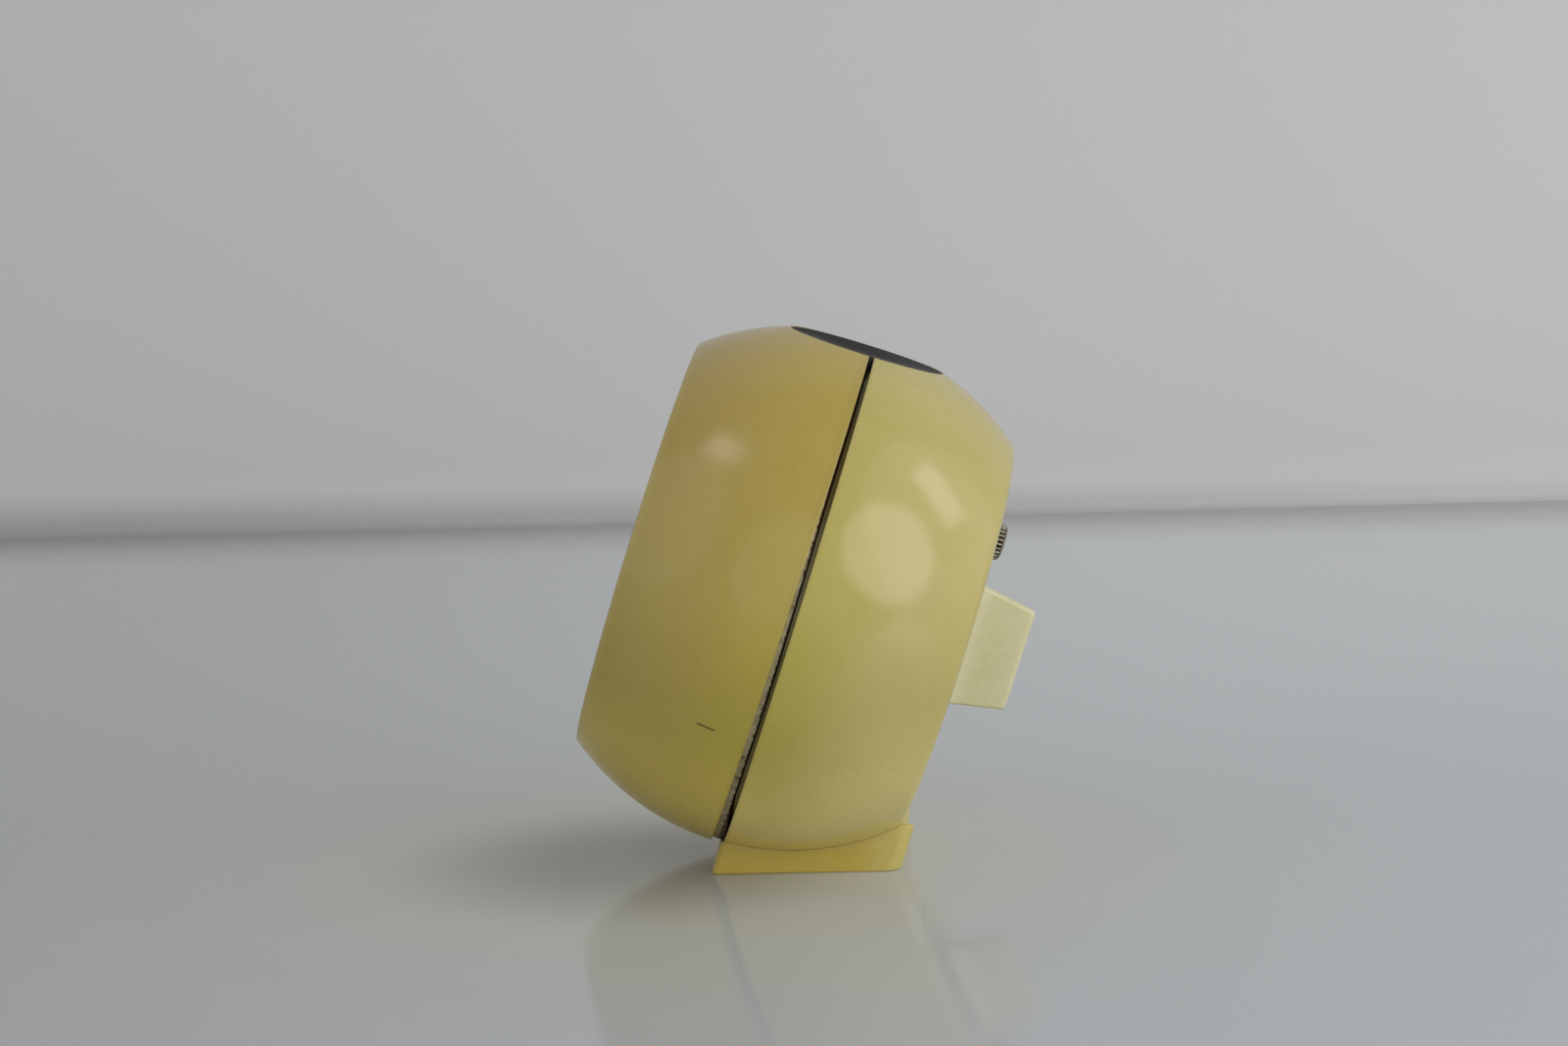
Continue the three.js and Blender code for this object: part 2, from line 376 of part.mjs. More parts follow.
// ---------------------------------------------------------------- setting arbor and going train
{
  const back = angleTo(HOUR, [0, 0]);
  piece("setting_arbor", rod(HOUR, SET_R, -15.2, 32.2, 12), STEEL_MAT);
  piece("setting_wheel", plate(gearOutline(HOUR, T_POINTER, MP, gapAim(T_POINTER, back)), -14.8, -13.9, [ring(HOUR, SET_R + GAP, 12)]), BRASS_MAT);
  const knurl = [];
  for (let i = 0; i < 20; i++) for (const [rr, k] of [[SET_KNOB_R - 0.3, 0], [SET_KNOB_R, 0.4]]) knurl.push([HOUR[0] + rr * Math.cos(((i + k) * 2 * Math.PI) / 20), HOUR[1] + rr * Math.sin(((i + k) * 2 * Math.PI) / 20)]);
  piece("setting_knob", join(plate(knurl, 30.15, 32.4), turned([[0, 32.4], [SET_KNOB_R - 0.35, 32.4], [SET_KNOB_R - 0.9, 32.85], [0, 32.85]], 22, HOUR)).subtract(rod(HOUR, SET_R + GAP, 29, 32.32, 12)), NICKEL_MAT);
  // hour pipe: turns on the setting arbor with friction, and carries the pinion and the first train wheel
  const pipe = tube(HOUR, PIPE_R, SET_R + RUN, -10.4, 12.0, 12);
  const pinion = plate(gearOutline(HOUR, T_HOUR_PINION, M1, gapAim(T_HOUR_PINION, back)), 7.6, 9.5, [ring(HOUR, PIPE_R - 0.1, 12)]);
  piece("hour_pipe", join(pipe, pinion), STEEL_MAT);
  piece("hour_wheel", plate(gearOutline(HOUR, T_WHEEL, MT, angleTo(HOUR, THIRD)), -9.6, -8.8, [ring(HOUR, PIPE_R + GAP, 12)]), BRASS_MAT);
  const arbor = (name, at, yPinion, prev, r = 1.3) => {
    const p = plate(gearOutline(at, T_PINION, MT, gapAim(T_PINION, angleTo(at, prev)), { ded: 1.0 }), yPinion[0], yPinion[1]);
    piece(name, join(p, rod(at, 0.9, -10.5, 5.7, 10), rod(at, 0.5, -12.0, 7.2, 8)), STEEL_MAT);
  };
  const wheel = (name, at, y0, next) => piece(name, plate(gearOutline(at, T_WHEEL, MT, angleTo(at, next)), y0, y0 + 0.8, [ring(at, 1.02, 10)]), BRASS_MAT);
  arbor("third_arbor", THIRD, [-10.1, -8.3], HOUR);
  wheel("third_wheel", THIRD, -6.6, FOURTH);
  arbor("fourth_arbor", FOURTH, [-7.1, -5.3], THIRD);
  wheel("fourth_wheel", FOURTH, -3.6, ESCAPE);
  arbor("escape_arbor", ESCAPE, [-4.1, -2.3], FOURTH);
  const out = [];
  for (let i = 0; i < T_ESCAPE; i++) {
    const a = ((i + 0.35) * 2 * Math.PI) / T_ESCAPE, p = (2 * Math.PI) / T_ESCAPE;
    out.push([4.4, a - 0.28 * p], [6.2, a - 0.04 * p], [6.2, a + 0.04 * p], [4.4, a + 0.1 * p]);
  }
  piece("escape_wheel", plate(out.map(([r, a]) => [ESCAPE[0] + r * Math.cos(a), ESCAPE[1] + r * Math.sin(a)]), -0.6, 0.2, [ring(ESCAPE, 1.02, 10)]), BRASS_MAT);
  // pin-pallet lever, its two pins just clear of the escape wheel's tips
  const d = [ESCAPE[0] - PALLET[0], ESCAPE[1] - PALLET[1]], L = Math.hypot(...d), ux = d[0] / L, uz = d[1] / L, nx = -uz, nz = ux;
  const at = (a, b) => [PALLET[0] + ux * a + nx * b, PALLET[1] + uz * a + nz * b];
  const lever = plate([at(-1.8, -1.6), at(1.6, -1.8), at(5.2, -5.9), at(6.4, -5.1), at(2.8, 0), at(6.4, 5.1), at(5.2, 5.9), at(1.6, 1.8), at(-1.8, 1.6)], -1.9, -1.1);
  const toB = angleTo(PALLET, BALANCE), fx = Math.cos(rad(toB)), fz = Math.sin(rad(toB));
  const f = (a, b) => [PALLET[0] + fx * a - fz * b, PALLET[1] + fz * a + fx * b];
  const tail = plate([f(0, -0.9), f(8.3, -0.6), f(8.3, 0.6), f(0, 0.9)], -1.9, -1.1);
  piece("pallet_lever", join(lever, tail, rod(at(5.4, -5.55), 0.32, -1.2, 0.3, 8), rod(at(5.4, 5.55), 0.32, -1.2, 0.3, 8), rod(PALLET, 1.0, -3, 1.4, 10), rod(PALLET, 0.5, -12, 7.2, 8)), STEEL_MAT);
  const rim = tube(BALANCE, 9.2, 7.9, 2.2, 3.6, 32);
  const spokes = box(BALANCE[0] - 8.2, BALANCE[0] + 8.2, 2.5, 3.3, BALANCE[1] - 0.8, BALANCE[1] + 0.8);
  piece("balance_wheel", cut(join(rim, spokes, rod(BALANCE, 1.6, 2.3, 3.5, 12)), rod(BALANCE, 0.92, 0, 6, 12)), BRASS_MAT);
  piece("balance_staff", join(rod(BALANCE, 0.8, -10.5, 5.7, 10), rod(BALANCE, 0.5, -12, 7.2, 8), rod(BALANCE, 1.8, -0.4, 0.4, 12)), STEEL_MAT);
  const hair = [];
  for (let i = 0; i <= 54; i++) { const a = (i / 54) * 3.5 * 2 * Math.PI, r = 1.6 + (6.2 - 1.6) * (i / 54); hair.push([BALANCE[0] + r * Math.cos(a), BALANCE[1] + r * Math.sin(a)]); }
  piece("hairspring", strip(hair, 0.22, 4.3, 4.8), SPRING_MAT);
}

// ---------------------------------------------------------------- bell and hammer
{
  let bell = turned([[0, 25.6], [16, 25.6], [21.5, 24.2], [24.4, 21.4], [24.9, 19.2], [25.9, 19.2], [25.4, 21.8], [22.1, 25.1], [16.2, 26.6], [0, 26.6]], 28);
  bell = cut(bell, rod([0, 0], 5.0, 20, 30, 20), rod(SET, 3.4, 20, 30, 16));
  for (const b of BELL_POSTS) bell = bell.subtract(rod(b, 1.35, 20, 30, 10));
  piece("bell", bell, STEEL_MAT);
  for (const [i, b] of BELL_POSTS.entries()) piece(["bell_post_left", "bell_post_right"][i], join(rod(b, 1.9, BRIDGE[1] + GAP, 25.4 - GAP, 12), rod(b, 1.05, 25, 27.1, 10)), STEEL_MAT);
  const head = [-12.4, 16.6];
  const H = HAMMER, l = Math.hypot(head[0] - H[0], head[1] - H[1]), e = [(head[0] - H[0]) / l, (head[1] - H[1]) / l];
  const q = (a, b) => [H[0] + e[0] * a - e[1] * b, H[1] + e[1] * a + e[0] * b];
  piece("hammer", join(rod(H, 0.8, -12, 22.6, 10), plate([q(-1.6, -1.0), q(l, -0.8), q(l, 0.8), q(-1.6, 1.0)], 21.2, 22.2), rod(head, 1.8, 19.9, 22.5, 14), plate([q(-1.4, -1.0), q(6.0, -0.8), q(6.0, 0.8), q(-1.4, 1.0)], -4.8, -4.0)), STEEL_MAT);
}

// ---------------------------------------------------------------- stop button
{
  // cap with a shallow finger dish, a skirt, and a stem
  const g = new THREE.LatheGeometry([[0, 33.4], [1.9, 33.4], [1.9, 41.2], [11.9, 41.2], [11.9, 39.4], [13.0, 39.4], [BUTTON_R, 39.4], [BUTTON_R, TOP_Z - 0.3], [BUTTON_R - 0.35, TOP_Z], [12.2, TOP_Z - 0.05], [7, TOP_Z - 0.45], [0, TOP_Z - 0.6], [0, 33.4]].map(([a, b]) => new THREE.Vector2(a, b)), 36);
  g.rotateX(Math.PI / 2);
  piece("stop_button", solid(g), BLACK_MAT);
  // guide cup round the button, against the inside of the shells
  let guide = join(upright(15.0, 36.2, 37.2, 28), upright(15.0, 36.2, 40.6, 28, 0, 0, 13.9), upright(3.4, 34.8, 37.2, 14));
  guide = cut(guide, upright(2.05, 30, 45, 14));
  piece("button_guide", guide, BLACK_MAT);
  // helical spring as a stack of turns
  class Helix extends THREE.Curve {
    getPoint(t, o = new THREE.Vector3()) { const a = t * 2 * Math.PI * 3.2; return o.set(3.1 * Math.cos(a), 3.1 * Math.sin(a), 37.65 + t * 3.05); }
  }
  const sec = new THREE.Shape(Array.from({ length: 5 }, (_, i) => new THREE.Vector2(0.28 * Math.cos((i * Math.PI) / 2.5), 0.28 * Math.sin((i * Math.PI) / 2.5))));
  const sg = new THREE.ExtrudeGeometry(sec, { steps: 44, extrudePath: new Helix(), bevelEnabled: false });
  piece("button_spring", solid(sg), SPRING_MAT);
  // stop lever: pivots on a stud of the front plate and is pushed by the stem
  const [px, pz] = STOP;
  const lever = plate([[px - 1.6, pz + 1.2], [px + 1.2, pz + 1.9], [-1.9, 33.2], [1.6, 33.2], [1.6, 32.1], [-1.6, 31.4], [px + 2.0, pz - 0.8], [-12.6, 17.6], [-14.2, 17.8], [px - 1.9, pz - 0.6]], -1.2, -0.2);
  piece("stop_lever", join(lever, rod(STOP, 1.3, -2.4, 1.0, 10), rod(STOP, 0.6, -12, 7.2, 8)), STEEL_MAT);
}

export default timer;
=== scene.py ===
import json
import math

import bmesh
import bpy
from mathutils import Matrix, Vector


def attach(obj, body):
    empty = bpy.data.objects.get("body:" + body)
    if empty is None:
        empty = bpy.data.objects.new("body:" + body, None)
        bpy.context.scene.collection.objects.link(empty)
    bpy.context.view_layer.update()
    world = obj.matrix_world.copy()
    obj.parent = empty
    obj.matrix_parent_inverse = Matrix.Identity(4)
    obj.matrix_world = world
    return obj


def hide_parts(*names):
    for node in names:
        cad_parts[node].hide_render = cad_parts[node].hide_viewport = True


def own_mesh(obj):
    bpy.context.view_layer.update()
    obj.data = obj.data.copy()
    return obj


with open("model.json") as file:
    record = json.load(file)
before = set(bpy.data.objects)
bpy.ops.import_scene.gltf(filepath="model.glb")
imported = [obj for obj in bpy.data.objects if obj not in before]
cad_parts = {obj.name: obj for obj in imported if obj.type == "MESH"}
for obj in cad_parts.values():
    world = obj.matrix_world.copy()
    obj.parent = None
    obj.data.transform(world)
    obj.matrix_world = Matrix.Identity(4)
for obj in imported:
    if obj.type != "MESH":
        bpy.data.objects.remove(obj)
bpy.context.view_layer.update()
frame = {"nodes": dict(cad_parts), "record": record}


MM = 0.001
LEAN = math.radians(18.66)
BALL = Vector((0.0, -1.6, 46.95))  # centre of the ball, mm
R = 46.0
WALL = 2.2
FRONT_Y = -28.2
REAR_Y = 29.7
TOP_Z = 43.85
SET_X, SET_Z = 0.0, 18.6
CASE = Matrix.Translation(BALL * MM) @ Matrix.Rotation(-LEAN, 4, "X") @ Matrix.Scale(MM, 4)  # case frame in mm to world
IDENT = Matrix.Scale(MM, 4)


# ------------------------------------------------------------------ mesh helpers
def finish_mesh(bm, name, matrix=CASE, angle=32.0, mats=()):
    bmesh.ops.remove_doubles(bm, verts=bm.verts, dist=1e-4)
    bmesh.ops.recalc_face_normals(bm, faces=bm.faces)
    bm.transform(matrix)
    me = bpy.data.meshes.new(name)
    bm.to_mesh(me)
    bm.free()
    me.polygons.foreach_set("use_smooth", [True] * len(me.polygons))
    me.set_sharp_from_angle(angle=math.radians(angle))
    ob = bpy.data.objects.new(name, me)
    bpy.context.scene.collection.objects.link(ob)
    for m in mats:
        me.materials.append(m)
    return ob


def rounded(points, steps=5):
    """A profile of (r, y) or (r, y, radius) corners, with an arc at each corner that has a radius."""
    out = []
    n = len(points)
    for i, p in enumerate(points):
        rad = p[2] if len(p) > 2 else 0.0
        if rad <= 0 or i in (0, n - 1):
            out.append((p[0], p[1]))
            continue
        a, b, c = Vector(points[i - 1][:2]), Vector(p[:2]), Vector(points[(i + 1) % n][:2])
        u, v = (a - b).normalized(), (c - b).normalized()
        ang = math.acos(max(-1, min(1, u.dot(v))))
        if ang > math.pi - 1e-3:
            out.append((p[0], p[1]))
            continue
        d = min(rad / math.tan(ang / 2), 0.49 * (a - b).length, 0.49 * (c - b).length)
        rr = d * math.tan(ang / 2)
        centre = b + (u + v).normalized() * (rr / math.sin(ang / 2))
        s, e = b + u * d, b + v * d
        a0 = math.atan2(*(s - centre).yx)
        a1 = math.atan2(*(e - centre).yx)
        while a1 - a0 > math.pi:
            a1 -= 2 * math.pi
        while a1 - a0 < -math.pi:
            a1 += 2 * math.pi
        for k in range(steps + 1):
            t = a0 + (a1 - a0) * k / steps
            out.append((centre.x + rr * math.cos(t), centre.y + rr * math.sin(t)))
    return out


def lathe(points, seg=160, at=(0.0, 0.0), closed=True, along="Y", bm=None, phase=0.0):
    """Turns (r, y) points about the case's Y axis (or its Z axis) through at."""
    bm = bm or bmesh.new()
    rings = []
    for r, y in points:
        if r < 1e-6:
            co = (at[0], y, at[1]) if along == "Y" else (at[0], at[1], y)
            rings.append([bm.verts.new(co)])
            continue
        ring = []
        for k in range(seg):
            a = 2 * math.pi * k / seg + phase
            c, s = r * math.cos(a), r * math.sin(a)
            ring.append(bm.verts.new((at[0] + c, y, at[1] + s) if along == "Y" else (at[0] + c, at[1] + s, y)))
        rings.append(ring)
    pairs = list(zip(rings, rings[1:]))
    if closed:
        pairs.append((rings[-1], rings[0]))
    for a, b in pairs:
        if len(a) == 1 and len(b) == 1:
            continue
        for k in range(seg):
            j = (k + 1) % seg
            if len(a) == 1:
                bm.faces.new((a[0], b[j], b[k]))
            elif len(b) == 1:
                bm.faces.new((a[k], a[j], b[0]))
            else:
                bm.faces.new((a[k], a[j], b[j], b[k]))
    return bm


def prism(outline, y0, y1, bm=None, top_scale=None):
    """A flat outline of (x, z) points, between two y planes."""
    bm = bm or bmesh.new()
    a = [bm.verts.new((x, y0, z)) for x, z in outline]
    b = [bm.verts.new((x, y1, z)) for x, z in outline]
    bm.faces.new(a)
    bm.faces.new(list(reversed(b)))
    n = len(outline)
    for i in range(n):
        j = (i + 1) % n
        bm.faces.new((a[j], a[i], b[i], b[j]))
    return bm


def arc(r, y0, y1, n):
    return [(math.sqrt(r * r - y * y), y) for y in (y0 + (y1 - y0) * i / n for i in range(n + 1))]


def arc_angle(r, y0, y1, n):
    a0, a1 = math.asin(y0 / r), math.asin(y1 / r)
    return [(r * math.cos(a0 + (a1 - a0) * i / n), r * math.sin(a0 + (a1 - a0) * i / n)) for i in range(n + 1)]


def apply_modifiers(ob, angle=32.0):
    dg = bpy.context.evaluated_depsgraph_get()
    me = bpy.data.meshes.new_from_object(ob.evaluated_get(dg))
    old = ob.data
    ob.modifiers.clear()
    ob.data = me
    me.name = ob.name
    bpy.data.meshes.remove(old)
    me.polygons.foreach_set("use_smooth", [True] * len(me.polygons))
    me.set_sharp_from_angle(angle=math.radians(angle))
    return ob


def boolean(ob, cutters, operation="DIFFERENCE"):
    for c in cutters:
        m = ob.modifiers.new("cut", "BOOLEAN")
        m.object, m.operation, m.solver = c, operation, "EXACT"
    bpy.context.view_layer.update()
    apply_modifiers(ob)
    for c in cutters:
        me = c.data
        bpy.data.objects.remove(c)
        bpy.data.meshes.remove(me)
    return ob


def bevel(ob, width, segments=3, angle=35.0, sharp=45.0):
    m = ob.modifiers.new("bevel", "BEVEL")
    m.width, m.segments, m.limit_method, m.angle_limit = width, segments, "ANGLE", math.radians(angle)
    m.harden_normals = False
    bpy.context.view_layer.update()
    return apply_modifiers(ob, sharp)


def radial_normals(ob, radius=R, centre=BALL * MM):
    """Exact normals on the ball's own surface, so the cuts leave no shading marks."""
    me = ob.data
    on = [abs((v.co - centre).length - radius * MM) < 2e-5 for v in me.vertices]
    normals = [Vector((0, 0, 0))] * len(me.loops)
    for p in me.polygons:
        if not all(on[v] for v in p.vertices):
            continue
        c = (p.center - centre).normalized()
        if p.normal.dot(c) < 0.98:
            continue
        for li in p.loop_indices:
            normals[li] = (me.vertices[me.loops[li].vertex_index].co - centre).normalized()
    me.normals_split_custom_set(normals)


# ------------------------------------------------------------------ material helpers
class Nodes:
    def __init__(self, name):
        self.m = bpy.data.materials.new(name)
        self.m.use_nodes = True
        self.t = self.m.node_tree
        self.t.nodes.clear()
        self.out = self.t.nodes.new("ShaderNodeOutputMaterial")
        self.b = self.t.nodes.new("ShaderNodeBsdfPrincipled")
        self.t.links.new(self.b.outputs[0], self.out.inputs[0])
        self.co = self.t.nodes.new("ShaderNodeTexCoord").outputs["Object"]

    def link(self, a, b):
        self.t.links.new(a, b)

    def noise(self, scale, detail=3.0, rough=0.5, at=None, distortion=0.0):
        n = self.t.nodes.new("ShaderNodeTexNoise")
        n.inputs["Scale"].default_value = scale
        n.inputs["Detail"].default_value = detail
        n.inputs["Roughness"].default_value = rough
        n.inputs["Distortion"].default_value = distortion
        self.link(at or self.co, n.inputs["Vector"])
        return n.outputs[0]

    def voronoi(self, scale, at=None, feature="F1"):
        n = self.t.nodes.new("ShaderNodeTexVoronoi")
        n.feature = feature
        n.inputs["Scale"].default_value = scale
        self.link(at or self.co, n.inputs["Vector"])
        return n.outputs["Distance"]

    def ramp(self, fac, stops):
        n = self.t.nodes.new("ShaderNodeValToRGB")
        e = n.color_ramp.elements
        e[0].position, e[0].color = stops[0][0], (*stops[0][1], 1) if not isinstance(stops[0][1], float) else (stops[0][1],) * 3 + (1,)
        e[1].position, e[1].color = stops[-1][0], (*stops[-1][1], 1) if not isinstance(stops[-1][1], float) else (stops[-1][1],) * 3 + (1,)
        for p, c in stops[1:-1]:
            x = e.new(p)
            x.color = (*c, 1) if not isinstance(c, float) else (c,) * 3 + (1,)
        self.link(fac, n.inputs[0])
        return n.outputs[0]

    def math(self, op, a, b=None, c=None, clamp=False):
        n = self.t.nodes.new("ShaderNodeMath")
        n.operation, n.use_clamp = op, clamp
        for s, v in zip(n.inputs, (a, b, c)):
            if v is None:
                continue
            if isinstance(v, (int, float)):
                s.default_value = v
            else:
                self.link(v, s)
        return n.outputs[0]

    def vmath(self, op, a, b=None):
        n = self.t.nodes.new("ShaderNodeVectorMath")
        n.operation = op
        for s, v in zip(n.inputs, (a, b)):
            if v is None:
                continue
            if isinstance(v, (tuple, Vector)):
                s.default_value = v
            else:
                self.link(v, s)
        return n.outputs["Value"] if op in ("DOT_PRODUCT", "LENGTH", "DISTANCE") else n.outputs[0]

    def mix(self, fac, a, b, blend="MIX"):
        n = self.t.nodes.new("ShaderNodeMix")
        n.data_type, n.blend_type = "RGBA", blend
        for s, v in ((n.inputs[0], fac), (n.inputs[6], a), (n.inputs[7], b)):
            if isinstance(v, (int, float)):
                s.default_value = v
            elif isinstance(v, tuple):
                s.default_value = (*v, 1)
            else:
                self.link(v, s)
        return n.outputs[2]

    def map_range(self, v, a, b, c, d):
        n = self.t.nodes.new("ShaderNodeMapRange")
        n.inputs[1].default_value, n.inputs[2].default_value = a, b
        n.inputs[3].default_value, n.inputs[4].default_value = c, d
        self.link(v, n.inputs[0])
        return n.outputs[0]

    def split(self, at=None):
        n = self.t.nodes.new("ShaderNodeSeparateXYZ")
        self.link(at or self.co, n.inputs[0])
        return n.outputs

    def stretch(self, scale):
        n = self.t.nodes.new("ShaderNodeVectorMath")
        n.operation = "MULTIPLY"
        n.inputs[1].default_value = scale
        self.link(self.co, n.inputs[0])
        return n.outputs[0]

    def bump(self, height, strength, distance, normal=None):
        n = self.t.nodes.new("ShaderNodeBump")
        n.inputs["Strength"].default_value = strength
        n.inputs["Distance"].default_value = distance
        self.link(height, n.inputs["Height"])
        if normal is not None:
            self.link(normal, n.inputs["Normal"])
        return n.outputs[0]

    def case_axes(self):
        """Coordinates in the case's own frame, metres: across, along the axis to the back, up to the button."""
        rel = self.vmath("SUBTRACT", self.co, tuple(BALL * MM))
        return [self.vmath("DOT_PRODUCT", rel, v) for v in ((1, 0, 0), (0, math.cos(LEAN), -math.sin(LEAN)), (0, math.sin(LEAN), math.cos(LEAN)))]

    def smooth(self, v, a, b, c, d):
        n = self.t.nodes.new("ShaderNodeMapRange")
        n.interpolation_type = "SMOOTHSTEP"
        n.inputs[1].default_value, n.inputs[2].default_value = a, b
        n.inputs[3].default_value, n.inputs[4].default_value = c, d
        self.link(v, n.inputs[0])
        return n.outputs[0]

    def segment(self, a, b, width, fade):
        """1 on the line from a to b (metres), 0 further than width + fade from it."""
        d = Vector(b) - Vector(a)
        rel = self.vmath("SUBTRACT", self.co, tuple(a))
        t = self.math("DIVIDE", self.vmath("DOT_PRODUCT", rel, tuple(d)), d.length_squared, clamp=True)
        n = self.t.nodes.new("ShaderNodeVectorMath")
        n.operation = "SCALE"
        n.inputs[0].default_value = tuple(d)
        self.link(t, n.inputs["Scale"])
        dist = self.vmath("DISTANCE", rel, n.outputs[0])
        return self.map_range(dist, width, width + fade, 1.0, 0.0)


def plastic(name, light, dark, tint, rough=(0.2, 0.34), mottle=22.0, specks=0.5, sub=0.0, scratches=(), masks=(), tones_and_painted_light=(), zfade=None, spec=0.5, peel=0.08):
    """Aged moulded plastic: broad blotches, finer clouding, specks, fine scratches and a slight orange peel.

    masks: (axis, from, to, colour, strength), a stain that grows along one of the case's axes (metres).
    tones_and_painted_light: colours laid over boxes on two of the case's axes, some the plastic's own tone and some
    painted light."""
    n = Nodes(name)
    big = n.ramp(n.noise(mottle, 3.0, 0.55, distortion=0.4), [(0.32, dark), (0.68, light)])
    mid = n.ramp(n.noise(mottle * 4.3, 4.0, 0.6), [(0.38, 0.0), (0.75, 1.0)])
    colour = n.mix(n.math("MULTIPLY", mid, 0.35), big, tint)
    if zfade:
        z = n.split()[2]
        colour = n.mix(n.smooth(z, zfade[0], zfade[1], zfade[2], 0.0), colour, zfade[3], "MULTIPLY")
    # some of these colours are painted light: lighter patches standing in for light and reflections
    if tones_and_painted_light:
        axes = n.case_axes()
        drift = n.noise(30.0, 2.0, 0.5)
        for a1, p0, p1, a2, q0, q1, tone_and_light, strength in tones_and_painted_light:
            m = n.math("MULTIPLY", n.smooth(axes[a1], p0, p1, 0.0, 1.0), n.smooth(axes[a2], q0, q1, 0.0, 1.0))
            m = n.math("MULTIPLY", m, n.map_range(drift, 0.3, 0.6, 0.55, 1.0))
            colour = n.mix(n.math("MULTIPLY", m, strength), colour, tone_and_light)
    fine = n.noise(900.0, 2.0, 0.5)
    colour = n.mix(n.map_range(fine, 0.35, 0.65, 0.0, 0.06), colour, tuple(c * 0.6 for c in dark))
    if masks:
        axes = n.case_axes()
        grain = n.noise(420.0, 5.0, 0.7)
        for axis, a, b, stain, strength in masks:
            m = n.smooth(axes[axis], a, b, 0.0, 1.0)
            m = n.math("MULTIPLY", m, n.map_range(grain, 0.3, 0.62, 0.35, 1.0))
            colour = n.mix(n.math("MULTIPLY", m, strength), colour, stain)
    if specks:
        v = n.voronoi(330.0)
        mask = n.math("LESS_THAN", v, 0.055)
        pick = n.math("GREATER_THAN", n.noise(160.0, 0.0), 0.6)
        colour = n.mix(n.math("MULTIPLY", n.math("MULTIPLY", mask, pick), specks), colour, tuple(c * 0.35 for c in dark))
    for a, b, w in scratches:
        colour = n.mix(n.math("MULTIPLY", n.segment(a, b, w * 0.4, w), 0.9), colour, (0.035, 0.022, 0.008))
    n.link(colour, n.b.inputs["Base Color"])
    rough_f = n.map_range(n.noise(34.0, 4.0), 0.3, 0.7, rough[0], rough[1])
    n.link(rough_f, n.b.inputs["Roughness"])
    skin = n.bump(n.noise(420.0, 2.0, 0.4), peel, 0.00008)
    n.link(skin, n.b.inputs["Normal"])
    n.b.inputs["IOR"].default_value = 1.49
    n.b.inputs["Specular IOR Level"].default_value = spec
    if sub:
        n.b.inputs["Subsurface Weight"].default_value = sub
        n.b.inputs["Subsurface Radius"].default_value = (1.0, 0.7, 0.3)
        n.b.inputs["Subsurface Scale"].default_value = 0.0012
    return n.m


def metal(name, light, dark, rough=(0.25, 0.42), scale=120.0, brushed=(1.0, 1.0, 14.0), tarnish=None):
    n = Nodes(name)
    base = n.ramp(n.noise(scale, 4.0, 0.6), [(0.3, dark), (0.7, light)])
    if tarnish:
        base = n.mix(n.map_range(n.noise(scale * 0.45, 5.0, 0.65), 0.5, 0.7, 0.0, 0.8), base, tarnish)
    n.link(base, n.b.inputs["Base Color"])
    lines = n.noise(260.0, 4.0, 0.6, at=n.stretch(brushed))
    n.link(n.map_range(lines, 0.3, 0.7, rough[0], rough[1]), n.b.inputs["Roughness"])
    n.link(n.bump(lines, 0.12, 0.00004), n.b.inputs["Normal"])
    n.b.inputs["Metallic"].default_value = 1.0
    return n.m


SCRATCH = [(Vector((40.68, -16.19, 31.19)) * MM, Vector((41.06, -13.65, 30.08)) * MM, 0.00018)]
# stains along the case's axes: at the seam, at the rim and round the back
# painted light: in both shells' zones the lighter tones low down stand in for the light thrown up from the table; the
# other zones tint the upper part and the band by the seam
FRONT = plastic("aged_cream_front", (0.505, 0.395, 0.10), (0.465, 0.345, 0.078), (0.54, 0.425, 0.125), rough=(0.14, 0.21), mottle=15.0, specks=0.3,
                scratches=SCRATCH, masks=((1, -0.0016, -0.0002, (0.20, 0.155, 0.07), 0.14), (1, -0.0268, -0.0281, (0.58, 0.49, 0.25), 0.4)),
                tones_and_painted_light=((1, -0.018, -0.004, 2, 0.026, -0.008, (0.49, 0.415, 0.048), 0.8), (1, -0.006, -0.022, 2, 0.0, 0.022, (0.50, 0.365, 0.115), 0.6), (1, -0.002, -0.024, 2, -0.004, -0.03, (0.52, 0.41, 0.085), 0.8),
                       (1, 0.0, -0.0015, 2, -0.016, -0.038, (0.745, 0.58, 0.125), 0.95)))
REAR = plastic("aged_cream_rear", (0.565, 0.480, 0.165), (0.52, 0.44, 0.14), (0.61, 0.525, 0.205), rough=(0.13, 0.19), mottle=18.0, specks=0.4,
               masks=((1, 0.0021, 0.0014, (0.30, 0.235, 0.11), 0.3),),
               tones_and_painted_light=((1, 0.02, 0.004, 2, 0.034, 0.006, (0.48, 0.415, 0.046), 0.85), (1, 0.004, 0.018, 2, -0.004, -0.026, (0.70, 0.61, 0.23), 0.9), (1, 0.0, 0.002, 2, -0.018, -0.038, (0.88, 0.71, 0.23), 0.95), (1, 0.014, 0.026, 2, -0.002, -0.022, (0.80, 0.69, 0.27), 0.8)))


